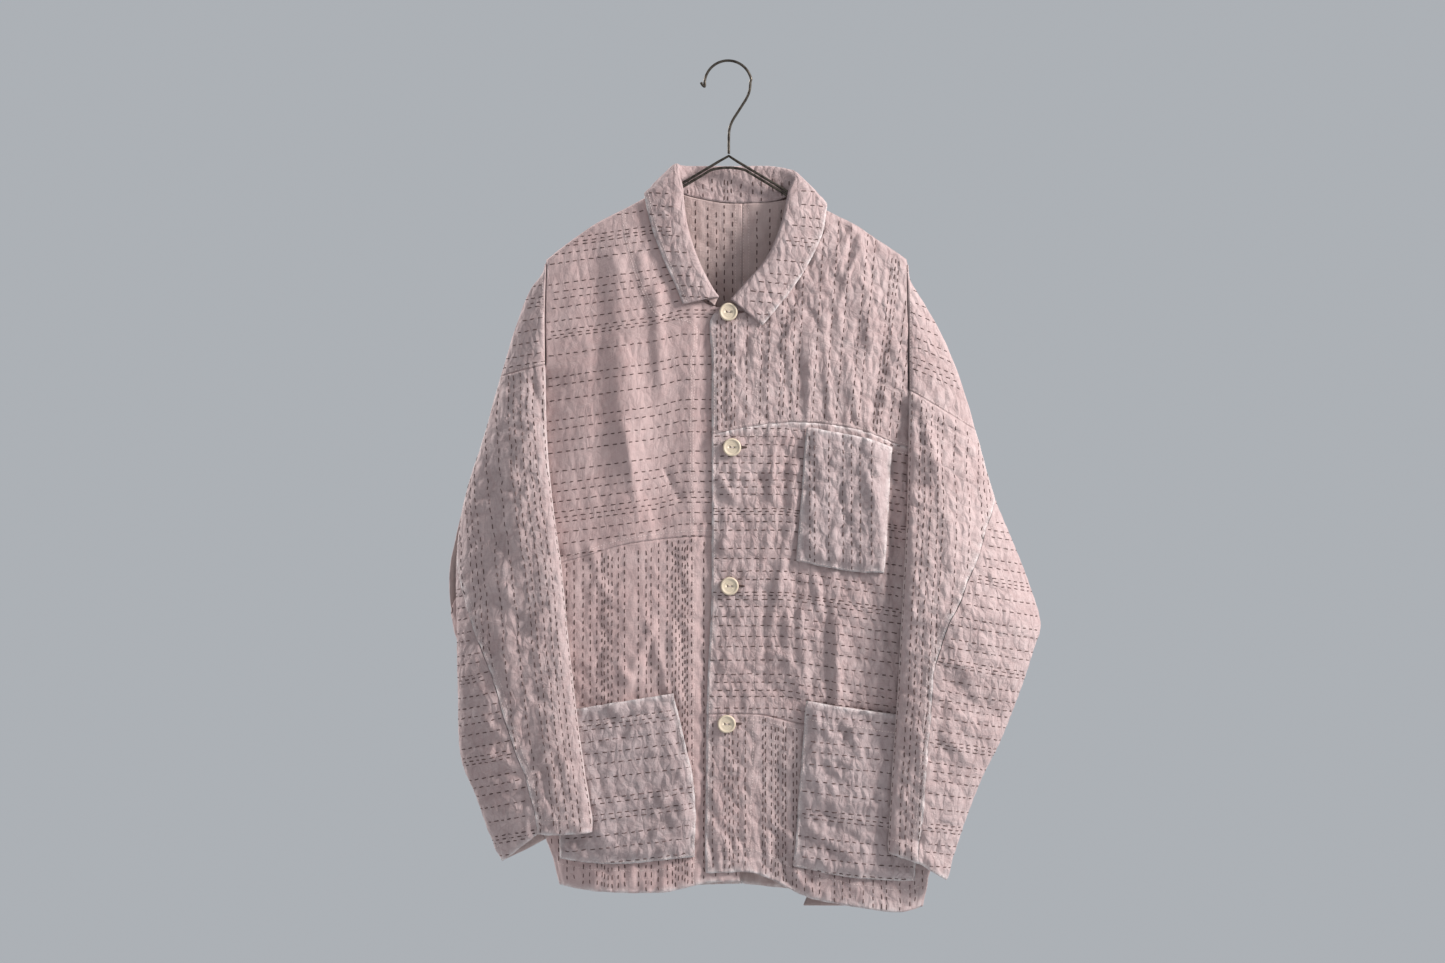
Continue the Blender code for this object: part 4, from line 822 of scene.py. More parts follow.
def stitches(name, lines, lengths_mm, gaps_mm, width, seed, finish):
    """Real stitches along lines: each one dips into the cloth at both ends."""
    chance = seeded(seed)
    corners = []
    for points, facing in lines:
        running = np.concatenate([[0.0], np.cumsum(np.linalg.norm(np.diff(points, axis=0), axis=1))])
        total = running[-1]
        count = int(total / (lengths_mm[0] + gaps_mm[0])) + 2
        long = chance.uniform(*lengths_mm, count)
        starts = np.cumsum(long + chance.uniform(*gaps_mm, count)) - long - chance.uniform(0, 5)
        fits = (starts > 0.6) & (starts + long < total - 0.6)
        starts, long = starts[fits], long[fits]
        if len(starts) == 0:
            continue
        stations = starts[:, None] + long[:, None] * np.array([0.0, 0.2, 0.8, 1.0])
        middle = np.stack([np.interp(stations, running, points[:, k]) for k in range(3)], axis=-1)
        up = np.stack([np.interp(stations, running, facing[:, k]) for k in range(3)], axis=-1)
        ahead = middle[:, 3:] - middle[:, :1]
        ahead = ahead / np.maximum(np.linalg.norm(ahead, axis=-1, keepdims=True), 1e-9)
        side = np.cross(np.repeat(ahead, 4, axis=1), up)
        side = side + ahead * chance.normal(0, 0.05, (len(starts), 1, 1))
        skew = side * chance.normal(0, 0.25, (len(starts), 1, 1))
        middle = middle + skew * np.array([-1, -0.5, 0.5, 1])[None, :, None]
        half = width / 2
        ring = [middle + side * half + up * (FACE + 0.02), middle + up * (FACE + half * 0.9),
                middle - side * half + up * (FACE + 0.02), middle + up * (FACE - 0.25)]
        start = (middle + up * (FACE - 0.1))[:, 0]
        end = (middle + up * (FACE - 0.1))[:, 3]
        body = [place[:, station] for station in (1, 2) for place in ring]
        corners.append(np.stack([start] + body + [end], axis=1))
    if not corners:
        return None
    corners = np.concatenate(corners)
    one = [(0, 1 + k, 1 + (k + 1) % 4) for k in range(4)]
    one += [(1 + k, 5 + k, 1 + (k + 1) % 4) for k in range(4)]
    one += [(5 + k, 5 + (k + 1) % 4, 1 + (k + 1) % 4) for k in range(4)]
    one += [(9, 5 + (k + 1) % 4, 5 + k) for k in range(4)]
    faces = (np.array(one)[None] + 10 * np.arange(len(corners))[:, None, None]).reshape(-1, 3)
    return mesh_piece(name, corners.reshape(-1, 3), faces, finish)


def mesh_piece(name, points, faces, finish):
    """A named piece from points in millimetres."""
    mesh = bpy.data.meshes.new(name)
    mesh.from_pydata((np.asarray(points) * MM).tolist(), [], np.asarray(faces).tolist())
    mesh.materials.append(finish)
    mesh.shade_smooth()
    piece = bpy.data.objects.new(name, mesh)
    bpy.context.scene.collection.objects.link(piece)
    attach(piece, "root")
    return piece


def cloth_panel(name, grids, facing, wear_edges, finish):
    """One cloth panel with a wall, cloth measures in its UV map and wear along its edges. Its first grid
    faces the given way. The others go on from it, except on a sleeve, where the second is the side behind."""
    points = []
    faces = []
    measures = []
    wear = []
    count = 0
    second_behind = "sleeve" in name
    for number, grid in enumerate(grids):
        rows, columns = grid.shape[:2]
        index = count + np.arange(rows * columns).reshape(rows, columns)
        quads = np.stack([index[:-1, :-1], index[:-1, 1:], index[1:, 1:], index[1:, :-1]], axis=-1)
        quads = quads.reshape(-1, 4)
        towards = BEHIND if second_behind and number == 1 else facing
        if number == 0 or second_behind:
            square = np.cross(grid[:-1, 1:] - grid[:-1, :-1], grid[1:, :-1] - grid[:-1, :-1]).sum(axis=(0, 1))
            turned = float(square @ np.array(towards)) < 0
        faces.append(quads[:, ::-1] if turned else quads)
        points.append(grid.reshape(-1, 3))
        measures.append(np.stack([run_lengths(grid, 1), run_lengths(grid, 0)], axis=-1).reshape(-1, 2) * MM)
        away = edge_distances(grid)
        worn = np.zeros(grid.shape[:2])
        for edge in wear_edges if number == 0 else ():
            worn = np.maximum(worn, np.exp(-away[edge] / 2.6))
        wear.append(worn.reshape(-1))
        count += rows * columns
    faces = np.concatenate(faces)
    points = np.concatenate(points)
    piece = mesh_piece(name, points, faces, finish)
    mesh = piece.data
    mesh.materials.append(INSIDE)
    worn = mesh.attributes.new("wear", "FLOAT", "POINT")
    worn.data.foreach_set("value", np.concatenate(wear))
    layer = mesh.uv_layers.new(name="cloth")
    layer.data.foreach_set("uv", np.concatenate(measures)[faces.reshape(-1)].reshape(-1))
    shape = bmesh.new()
    shape.from_mesh(mesh)
    bmesh.ops.remove_doubles(shape, verts=shape.verts, dist=0.00005)
    shape.to_mesh(mesh)
    shape.free()
    wall = piece.modifiers.new("wall", "SOLIDIFY")
    wall.thickness = WALL * MM
    wall.offset = 0.0
    wall.use_quality_normals = True
    wall.material_offset = 1
    return piece


def declare(grids):
    """Works out the size and area of cloth the panel was cut from, all round what it covers, and keeps none
    of it.
    """
    across = sum(run_lengths(grid, 1)[:, -1].max() for grid in grids)
    down = max(run_lengths(grid, 0)[-1].max() for grid in grids)
    cells = [np.cross(grid[1:, :-1] - grid[:-1, :-1], grid[:-1, 1:] - grid[:-1, :-1]) for grid in grids]
    area = sum(np.linalg.norm(cell, axis=-1).sum() for cell in cells)
    area = min(max(area, across * down * 0.31), across * down)


def linear(code):
    """A linear colour from its sRGB hex code."""
    parts = [int(code[k:k + 2], 16) / 255 for k in (1, 3, 5)]
    toned = [part / 12.92 if part < 0.04045 else ((part + 0.055) / 1.055) ** 2.4 for part in parts]
    return (*toned, 1.0)


def per_metre(size):
    """How often something of a size in millimetres fits in a metre, to the nearest whole number."""
    return float(round(1 / (size * MM)))


def bands_per_metre(size):
    """The wave pattern's scale for bands of a size in millimetres. At scale 1 a metre holds 20 radians."""
    return float(round(math.tau / 20 / (size * MM)))


def add(tree, kind, output, inputs=None, **settings):
    """One output of a new shader node, with its settings, and its inputs as values or other outputs."""
    made = tree.nodes.new(kind)
    for key, value in settings.items():
        setattr(made, key, value)
    for key, value in (inputs or {}).items():
        if isinstance(value, bpy.types.NodeSocket):
            tree.links.new(value, made.inputs[key])
        else:
            made.inputs[key].default_value = value
    return made.outputs[output]


def new_surface(name, roughness, metallic=0.0):
    """A material with its shader and its node tree."""
    made = bpy.data.materials.new(name)
    made.use_nodes = True
    shader = made.node_tree.nodes["Principled BSDF"]
    shader.inputs["Roughness"].default_value = roughness
    shader.inputs["Metallic"].default_value = metallic
    return made, made.node_tree, shader


def crumpled(tree, where, size):
    """Height of washed-in crumples: flat facets that meet in crisp creases, longer downwards."""
    scale = per_metre(size)
    bent = add(tree, "ShaderNodeTexNoise", "Color", {"Vector": where, "Scale": scale * 0.6, "Detail": 2.0})
    moved = add(tree, "ShaderNodeVectorMath", "Vector", {0: bent, 1: (0.8 / scale,) * 3, 2: where},
                operation="MULTIPLY_ADD")
    longer = add(tree, "ShaderNodeMapping", "Vector", {"Vector": moved, "Rotation": (0.0, 0.35, 0.0),
                                                       "Scale": (1.0, 1.0, 0.5)})
    return add(tree, "ShaderNodeTexVoronoi", "Distance", {"Vector": longer, "Scale": scale},
               feature="DISTANCE_TO_EDGE")


def uneven_dye(tree, where, on_cloth, cloth, faded, worn):
    """The cloth's colour in paler and darker patches, with a fine mottle, and the mottle itself."""
    patch = add(tree, "ShaderNodeTexNoise", "Fac", {"Vector": where, "Scale": per_metre(DYE_PATCH),
                                                    "Detail": 3.0})
    patched = add(tree, "ShaderNodeMapRange", "Result", {"Value": patch, "From Min": 0.35, "From Max": 0.65})
    base = add(tree, "ShaderNodeMix", MIXED, {SHARE: patched, FIRST: linear(cloth), SECOND: linear(faded)},
               data_type="RGBA")
    mottle = add(tree, "ShaderNodeTexNoise", "Fac", {"Vector": on_cloth, "Scale": per_metre(DYE_MOTTLE),
                                                     "Detail": 4.0, "Roughness": 0.65})
    mottled = add(tree, "ShaderNodeMapRange", "Result", {"Value": mottle, "From Min": 0.4, "From Max": 0.75,
                                                         "To Max": 0.35})
    base = add(tree, "ShaderNodeMix", MIXED, {SHARE: mottled, FIRST: base, SECOND: linear(worn)},
               data_type="RGBA")
    return base, mottle


def uneven_yarn(tree, on_cloth):
    """Slubs: long thick places in the yarn, down the cloth and across it."""
    thin, long = per_metre(SLUB_THICKNESS), per_metre(SLUB_LENGTH)
    ways = []
    for stretched in ((thin, long, 1.0), (long, thin, 1.0)):
        yarn = add(tree, "ShaderNodeMapping", "Vector", {"Vector": on_cloth, "Scale": stretched})
        ways.append(add(tree, "ShaderNodeTexNoise", "Fac", {"Vector": yarn, "Scale": 1.0, "Detail": 2.0}))
    return add(tree, "ShaderNodeMath", "Value", {0: ways[0], 1: ways[1]})


def garment_dyed_cotton(name, cloth, faded, worn, creased, crinkle):
    """Plain-weave cotton, garment dyed and washed soft. The eye gets a dull surface with no shine, dye that
    is a little uneven, paler rubbed edges, a fine square weave and slubs, and washed-in crinkles. Painted
    shade darkens the crinkles' crease lines towards the darker creased colour."""
    made, tree, shader = new_surface(name, 0.92)
    where = add(tree, "ShaderNodeTexCoord", "Object")
    on_cloth = add(tree, "ShaderNodeTexCoord", "UV")
    base, mottle = uneven_dye(tree, where, on_cloth, cloth, faded, worn)
    slubs = uneven_yarn(tree, on_cloth)
    pale_slubs = add(tree, "ShaderNodeMapRange", "Result", {"Value": slubs, "From Min": 0.8, "From Max": 1.2,
                                                            "To Max": 0.30})
    base = add(tree, "ShaderNodeMix", MIXED, {SHARE: pale_slubs, FIRST: base, SECOND: linear(worn)},
               data_type="RGBA")
    large = crumpled(tree, where, LARGE_CRUMPLE)
    small = crumpled(tree, where, SMALL_CRUMPLE)
    # Painted shade: along the crumples' crease lines the colour is mixed towards the darker creased colour,
    # as shade would fall there
    for crumple, strength in ((large, 0.30), (small, 0.22)):
        line = add(tree, "ShaderNodeMapRange", "Result", {"Value": crumple, "From Max": 0.10,
                                                          "To Min": strength * crinkle, "To Max": 0.0})
        base = add(tree, "ShaderNodeMix", MIXED, {SHARE: line, FIRST: base, SECOND: linear(creased)},
                   data_type="RGBA")
    edge = add(tree, "ShaderNodeAttribute", "Fac", attribute_name="wear")
    patchy = add(tree, "ShaderNodeMapRange", "Result", {"Value": mottle, "From Min": 0.35, "From Max": 0.6,
                                                        "To Min": 0.05, "To Max": 0.75})
    rubbed = add(tree, "ShaderNodeMath", "Value", {0: edge, 1: patchy}, operation="MULTIPLY")
    base = add(tree, "ShaderNodeMix", MIXED, {SHARE: rubbed, FIRST: base, SECOND: linear("#e6dedc")},
               data_type="RGBA")
    tree.links.new(base, shader.inputs["Base Color"])
    spacing = bands_per_metre(WEAVE_REPEAT)
    threads = [add(tree, "ShaderNodeTexWave", "Fac", {"Vector": on_cloth, "Scale": spacing},
                   bands_direction=way) for way in ("X", "Y")]
    weave = add(tree, "ShaderNodeMath", "Value", {0: threads[0], 1: threads[1]}, operation="MULTIPLY")
    soft = add(tree, "ShaderNodeTexNoise", "Fac", {"Vector": where, "Scale": per_metre(CRINKLE),
                                                   "Detail": 3.0, "Distortion": 1.2})
    normal = add(tree, "ShaderNodeBump", "Normal", {"Height": weave, "Strength": 0.5,
                                                    "Distance": WEAVE_RELIEF * MM})
    reliefs = [(slubs, 0.6, SLUB_RELIEF), (soft, crinkle, CRINKLE_RELIEF),
               (large, crinkle, LARGE_CRUMPLE_RELIEF), (small, crinkle, SMALL_CRUMPLE_RELIEF)]
    for height, strength, relief in reliefs:
        normal = add(tree, "ShaderNodeBump", "Normal", {"Height": height, "Strength": strength,
                                                        "Distance": relief * MM, "Normal": normal})
    tree.links.new(normal, shader.inputs["Normal"])
    shader.inputs["Sheen Weight"].default_value = 0.12
    return made


def sewing_thread(name, colour, pale):
    """Spun cotton thread, dyed and washed. The eye gets a dull, slightly hairy line whose dye varies."""
    made, tree, shader = new_surface(name, 0.85)
    where = add(tree, "ShaderNodeTexCoord", "Object")
    dye = add(tree, "ShaderNodeTexNoise", "Fac", {"Vector": where, "Scale": per_metre(THREAD_DYE),
                                                  "Detail": 2.0})
    share = add(tree, "ShaderNodeMapRange", "Result", {"Value": dye, "From Min": 0.35, "From Max": 0.7})
    base = add(tree, "ShaderNodeMix", MIXED, {SHARE: share, FIRST: linear(colour), SECOND: linear(pale)},
               data_type="RGBA")
    tree.links.new(base, shader.inputs["Base Color"])
    return made


def corozo_nut():
    """Turned and tumbled corozo nut. The eye gets a warm cream with faint rings and a low, even shine."""
    made, tree, shader = new_surface("turned_corozo_nut", 0.42)
    where = add(tree, "ShaderNodeTexCoord", "Object")
    rings = add(tree, "ShaderNodeTexWave", "Fac", {"Vector": where, "Scale": bands_per_metre(NUT_RING),
                                                   "Distortion": 5.0, "Detail": 2.0},
                wave_type="RINGS", rings_direction="Y")
    share = add(tree, "ShaderNodeMapRange", "Result", {"Value": rings, "To Max": 0.5})
    base = add(tree, "ShaderNodeMix", MIXED, {SHARE: share, FIRST: linear("#dccab3"),
                                              SECOND: linear("#cbb79c")}, data_type="RGBA")
    tree.links.new(base, shader.inputs["Base Color"])
    return made


def drawn_steel():
    """Drawn mild-steel wire, oxidised by handling. The eye gets a dark brown-grey metal with dull patches."""
    made, tree, shader = new_surface("oxidised_drawn_steel", 0.45, 0.9)
    where = add(tree, "ShaderNodeTexCoord", "Object")
    spots = add(tree, "ShaderNodeTexNoise", "Fac", {"Vector": where, "Scale": per_metre(WIRE_SPOT),
                                                    "Detail": 4.0})
    share = add(tree, "ShaderNodeMapRange", "Result", {"Value": spots, "From Min": 0.4, "From Max": 0.65})
    base = add(tree, "ShaderNodeMix", MIXED, {SHARE: share, FIRST: linear("#5c554d"),
                                              SECOND: linear("#3a342f")}, data_type="RGBA")
    dulled = add(tree, "ShaderNodeMapRange", "Result", {"Value": spots, "From Min": 0.35, "From Max": 0.7,
                                                        "To Min": 0.35, "To Max": 0.65})
    tree.links.new(base, shader.inputs["Base Color"])
    tree.links.new(dulled, shader.inputs["Roughness"])
    return made


def tube(name, points, radius, closed, finish):
    """A round wire or thread through points in millimetres."""
    data = bpy.data.curves.new(name, "CURVE")
    data.dimensions = "3D"
    data.bevel_depth = radius * MM
    data.bevel_resolution = 4
    data.use_fill_caps = not closed
    spline = data.splines.new("POLY")
    spline.points.add(len(points) - 1)
    for place, (x, y, z) in zip(spline.points, points):
        place.co = (x * MM, y * MM, z * MM, 1.0)
    spline.use_cyclic_u = closed
    data.materials.append(finish)
    piece = bpy.data.objects.new(name, data)
    bpy.context.scene.collection.objects.link(piece)
    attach(piece, "root")
    return piece


def finish_panel(node, grids, facing, look, rows, sewn, worn):
    """A panel's cloth, its dark running stitches and its pale sewing, which stand for its CAD node."""
    cloth = cloth_panel(node + "_cloth", grids, facing, worn, look)
    seed = len(node)
    dark = stitches(node + "_stitches", rows, DASH_LENGTH, DASH_GAP, DASH_WIDTH, seed, DARK)
    pale = stitches(node + "_sewing", sewn, SEWN_LENGTH, SEWN_GAP, SEWN_WIDTH, seed + 7, PALE)
    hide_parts(node)
    declare(grids)


def from_row(panel, height):
    """The first row of a panel whose outer edge is at or below a height."""
    return int(np.argmin(np.abs(panel[:, -1, 2] - height)))


def seen_inside(points):
    """Which points of the back show inside the neck."""
    return (points[:, 2] > SEEN_INSIDE_Z) & (np.abs(points[:, 0]) < SEEN_INSIDE_X)


def dressed_back(node, side, shoulder, head, underarm, fold_start, ridge, hem, neck, look):
    """One back panel, with the stretch that wraps over the shoulder's end and the side pleat."""
    centre_x = CENTRE_BACK_X + math.copysign(SEAM_GAP / 2, underarm[0])
    neck_edge = smooth_line(neck)
    shoulder_edge = smooth_line(shoulder)
    top = chain(at(neck_edge, BACK_NECK_COLUMNS), at(shoulder_edge, 1 - (1 - np.linspace(0, 1, 8)) ** 1.4))
    top[0, 0] = centre_x
    line = smooth_line(side)
    head_row = int(np.argmin(np.linalg.norm(line - np.array(head), axis=1)))
    steps = shoulder_steps(8)
    outline = chain(at(line[:head_row + 1], steps), stretch(side, head, underarm, 6),
                    stretch(side, underarm, fold_start, 1), stretch(side, fold_start, side[-1], 7))
    centre_z = np.interp(lengths(outline), [0, 1], [neck[0][1], BACK_HEM_Z])
    inner = np.stack([np.full_like(centre_z, centre_x), centre_z], axis=1)
    bottom = at(smooth_line(hem), lengths(top))
    bottom[0] = inner[-1]
    flat = finer(coons(top, bottom, inner, outline), HIDDEN_CELL)
    panel = lift(flat, back_y(flat[..., 0], flat[..., 1]))
    rows = spread(-330, 330, 5)
    panel = stitched_ribs(panel, BEHIND, panel[..., 0], rows)
    panel = sewn_edges(panel, BEHIND, [("bottom", HEM_WIDTH, 0.7, 0.9), ("inner", FELL_WIDTH, 0.6, 0.5)], 3)
    first = from_row(panel, outline[2, 1])
    last = from_row(panel, head[1])
    edge = panel[first:last + 1, -1]
    along = steps[2] + (1 - steps[2]) * lengths(edge)
    seen = outer_stretch(at(smooth_line(ridge), along), edge)
    tucked = side_fold(panel[from_row(panel, underarm[1]):, -1], underarm[0], 1)
    lines = columns_on(panel, BEHIND, panel[..., 0], rows)
    slope = 0.16 if underarm[0] < 0 else -0.42
    drop = seen[..., 2] - slope * (seen[..., 0] - underarm[0] * 0.75)
    lines += rows_on(seen, FRONT, drop, down_photo(SHOULDER_PIXEL_ROWS))
    lines += columns_on(panel, FRONT, panel[..., 0], NECK_INSIDE_COLUMNS, seen_inside)
    sewn = edge_rows(panel, BEHIND, "bottom", [HEM_WIDTH - EDGE_SEWING])
    sewn += edge_rows(panel, BEHIND, "inner", [1.5, FELL_WIDTH - 1])
    sewn += edge_rows(panel, FRONT, "inner", [1.5, FELL_WIDTH - 1], seen_inside)
    sewn += edge_rows(seen, FRONT, "outer", [2.5])
    sewn += edge_rows(seen, FRONT, "bottom", [2.5])
    finish_panel(node, [panel, seen, tucked], BEHIND, look, lines, sewn, ("bottom",))


def outer_stretch(ridge_line, edge):
    """The back cloth between the side outline and the ridge, bulging forwards."""
    side = math.copysign(1.0, edge[0, 0])
    start = lift(ridge_line, front_y(ridge_line[:, 0], ridge_line[:, 1]))
    start[:, 0] += side * (WALL * 0.8)
    rows = (0.1 + 0.9 * lengths(edge))[:, None]
    share = (0.5 - 0.5 * np.cos(np.pi * np.linspace(1, 0, 19)))[None, :]
    grid = edge[:, None] * share[..., None] + start[:, None] * (1 - share[..., None])
    wrinkle = fold_height(grid[..., 0], grid[..., 2], SLEEVE_CREASES + SLEEVE_CRINKLES)
    wrinkle += 1.6 * crumples(grid[..., 0], grid[..., 2], SHOULDER_FACET)
    grid[..., 1] -= (SLEEVE_FRONT_BULGE[0][1] + wrinkle) * rows * bulge(share)
    grid[:, 1:, 2] += PANEL_GAP * (rows == rows.max())
    return grid


def laid_on_front(top, bottom, inner, outer):
    """A front panel between its four edges: the x and z of its points, and its cloth."""
    flat = finer(coons(top, bottom, inner, outer))
    x, z = flat[..., 0], flat[..., 1]
    return x, z, lift(flat, front_y(x, z))


def facing_rows(panel, distances, keep=None):
    """The sewing that holds the facing behind a front's centre edge."""
    return edge_rows(panel, FRONT, "inner", distances, keep)


def dressed_right_front(look):
    """The two panels of the right front, which pass behind the left one where it laps over them."""
    gap = np.array([0, PANEL_GAP / 2])
    neck_edge = smooth_line([(x - NECK_GAP, z) for x, z in RIGHT_NECK[:-1]] + RIGHT_NECK[-1:])
    ridge = at(smooth_line(RIGHT_RIDGE), shoulder_steps(6))
    ridge[:, 0] += WALL * 0.3
    outer = chain(ridge, stretch(RIGHT_ARMHOLE, RIGHT_ARMHOLE[0], RIGHT_SEAM_END, RIGHT_ARMHOLE_ROWS))
    centre = at(np.array([RIGHT_NECK[-1], RIGHT_FRONT_SEAM[0]]), np.linspace(0, 1, 6))
    inner = chain(at(neck_edge, shoulder_steps(7)), centre)
    seam = at(smooth_line(RIGHT_FRONT_SEAM), RIGHT_COLUMNS)
    x, z, panel = laid_on_front(at(smooth_line(RIGHT_SHOULDER), RIGHT_COLUMNS), seam + gap, inner, outer)
    panel[..., 1] += under_overlap(x)
    field = z - 0.14 * (x + 127) - 0.12 * np.maximum(x + 75, 0) + 0.26 * np.maximum(x + 48, 0)
    rows = down_photo(RIGHT_UPPER_PIXEL_ROWS)
    panel = stitched_ribs(panel, FRONT, field, rows, 0.25)
    panel = sewn_edges(panel, FRONT, [("bottom", FELL_WIDTH, 0.2, 0.5), ("inner", FACING_WIDTH, 0.4, 0.5)], 5)
    sewn = edge_rows(panel, FRONT, "bottom", [FELL_WIDTH - 2])
    sewn += facing_rows(panel, [FACING_WIDTH - EDGE_SEWING, FACING_WIDTH])
    finish_panel("right_front_upper", [panel], FRONT, look, rows_on(panel, FRONT, field, rows), sewn, ())

    outer = chain(stretch(RIGHT_ARMHOLE, RIGHT_SEAM_END, RIGHT_UNDERARM, 1),
                  stretch(RIGHT_SIDE, RIGHT_UNDERARM, RIGHT_FOLD_START, 1),
                  stretch(RIGHT_SIDE, RIGHT_FOLD_START, RIGHT_SIDE[-1], 7))
    inner = at(np.array([RIGHT_FRONT_SEAM[0], RIGHT_HEM[0]]), lengths(outer))
    x, z, panel = laid_on_front(seam - gap, at(smooth_line(RIGHT_HEM), RIGHT_COLUMNS), inner, outer)
    panel[..., 1] += under_overlap(x)
    columns = across_photo(RIGHT_LOWER_PIXEL_COLUMNS)
    panel = stitched_ribs(panel, FRONT, x, columns, 0.4)
    panel = sewn_edges(panel, FRONT, [("bottom", HEM_WIDTH, 0.8, 1.2), ("inner", FACING_WIDTH, 0.4, 0.5)], 6)
    tucked = side_fold(panel[from_row(panel, RIGHT_UNDERARM[1]):, -1], RIGHT_UNDERARM[0], -1)
    sewn = edge_rows(panel, FRONT, "bottom", [HEM_WIDTH - EDGE_SEWING])
    sewn += facing_rows(panel, [FACING_WIDTH - EDGE_SEWING])
    lines = columns_on(panel, FRONT, x, columns)
    finish_panel("right_front_lower", [panel, tucked], FRONT, look, lines, sewn, ("bottom",))


def dressed_left_front(look):
    """The three panels of the left front, which laps over the right one at the buttons."""
    gap = np.array([0, PANEL_GAP / 2])
    placket = ("inner", FACING_WIDTH, 0.5, 0.4)
    facing = [EDGE_SEWING, FACING_WIDTH - EDGE_SEWING]
    neck_edge = smooth_line([(x + NECK_GAP, z) for x, z in LEFT_NECK[:-1]] + LEFT_NECK[-1:])
    ridge = at(smooth_line(LEFT_RIDGE), shoulder_steps(6))
    ridge[:, 0] -= WALL * 0.3
    outer = chain(ridge, stretch(LEFT_ARMHOLE, LEFT_ARMHOLE[0], LEFT_YOKE_END, LEFT_ARMHOLE_ROWS))
    yoke_z, lower_z, hem_z = LEFT_YOKE_SEAM[0][1], LEFT_LOWER_SEAM[0][1], LEFT_HEM[0][1]
    inner = chain(at(neck_edge, shoulder_steps(6)), placket_edge(LEFT_NECK[-1][1], yoke_z, 3))
    seam = at(smooth_line(LEFT_YOKE_SEAM), LEFT_COLUMNS)
    x, z, panel = laid_on_front(at(smooth_line(LEFT_SHOULDER), LEFT_COLUMNS), seam + gap, inner, outer)
    field = x / (1 + 0.0007 * (z + 252))
    columns = across_photo(LEFT_UPPER_PIXEL_COLUMNS)
    panel = stitched_ribs(panel, FRONT, field, columns, 0.3)
    panel = sewn_edges(panel, FRONT, [placket, ("bottom", FELL_WIDTH, 0.5, 0.8)], 7)
    sewn = facing_rows(panel, facing, lambda points: points[:, 2] < -275)
    sewn += edge_rows(panel, FRONT, "bottom", [EDGE_SEWING])
    finish_panel("left_front_upper", [panel], FRONT, look, columns_on(panel, FRONT, field, columns), sewn,
                 ("inner",))

    outer = chain(stretch(LEFT_ARMHOLE, LEFT_YOKE_END, LEFT_UNDERARM, 5),
                  stretch(LEFT_SIDE, LEFT_UNDERARM, LEFT_FOLD_START, 1),
                  stretch(LEFT_SIDE, LEFT_FOLD_START, LEFT_LOWER_END, 3))
    lower_seam = at(smooth_line(LEFT_LOWER_SEAM), LEFT_COLUMNS)
    x, z, panel = laid_on_front(seam - gap, lower_seam + gap, placket_edge(yoke_z, lower_z, 9), outer)
    field = z + 0.15 * np.maximum(x - 58, 0)
    rows = down_photo(LEFT_MIDDLE_PIXEL_ROWS)
    panel = stitched_ribs(panel, FRONT, field, rows, 0.35)
    panel = sewn_edges(panel, FRONT, [placket, ("top", YOKE_FELL, 0.7, 1.0)], 8)
    tucked = side_fold(panel[from_row(panel, LEFT_UNDERARM[1]):, -1], LEFT_UNDERARM[0], -1)
    sewn = facing_rows(panel, facing) + edge_rows(panel, FRONT, "top", [YOKE_FELL - 2])
    finish_panel("left_front_middle", [panel, tucked], FRONT, look, rows_on(panel, FRONT, field, rows), sewn,
                 ("inner", "top"))

    outer = stretch(LEFT_SIDE, LEFT_LOWER_END, LEFT_SIDE[-1], 6)
    hem = at(smooth_line(LEFT_HEM), LEFT_COLUMNS)
    x, z, panel = laid_on_front(lower_seam - gap, hem, placket_edge(lower_z, hem_z, 6), outer)
    columns = across_photo(LEFT_LOWER_PIXEL_COLUMNS)
    panel = stitched_ribs(panel, FRONT, x, columns, 0.4)
    bands = [placket, ("top", FELL_WIDTH, 0.6, 0.8), ("bottom", HEM_WIDTH, 0.8, 1.2)]
    panel = sewn_edges(panel, FRONT, bands, 9)
    tucked = side_fold(panel[:, -1], LEFT_UNDERARM[0], -1)
    sewn = facing_rows(panel, facing) + edge_rows(panel, FRONT, "top", [FELL_WIDTH - 2])
    sewn += edge_rows(panel, FRONT, "bottom", [HEM_WIDTH - EDGE_SEWING])
    finish_panel("left_front_lower", [panel, tucked], FRONT, look, columns_on(panel, FRONT, x, columns), sewn,
                 ("inner", "bottom"))


def across_sleeve(shape, rows, shares, seen):
    """A sleeve's points at rows down its length and at each row's own shares across it."""
    return sleeve_surface(shape, np.repeat(rows[:, None], shares.shape[1], 1), shares, seen)


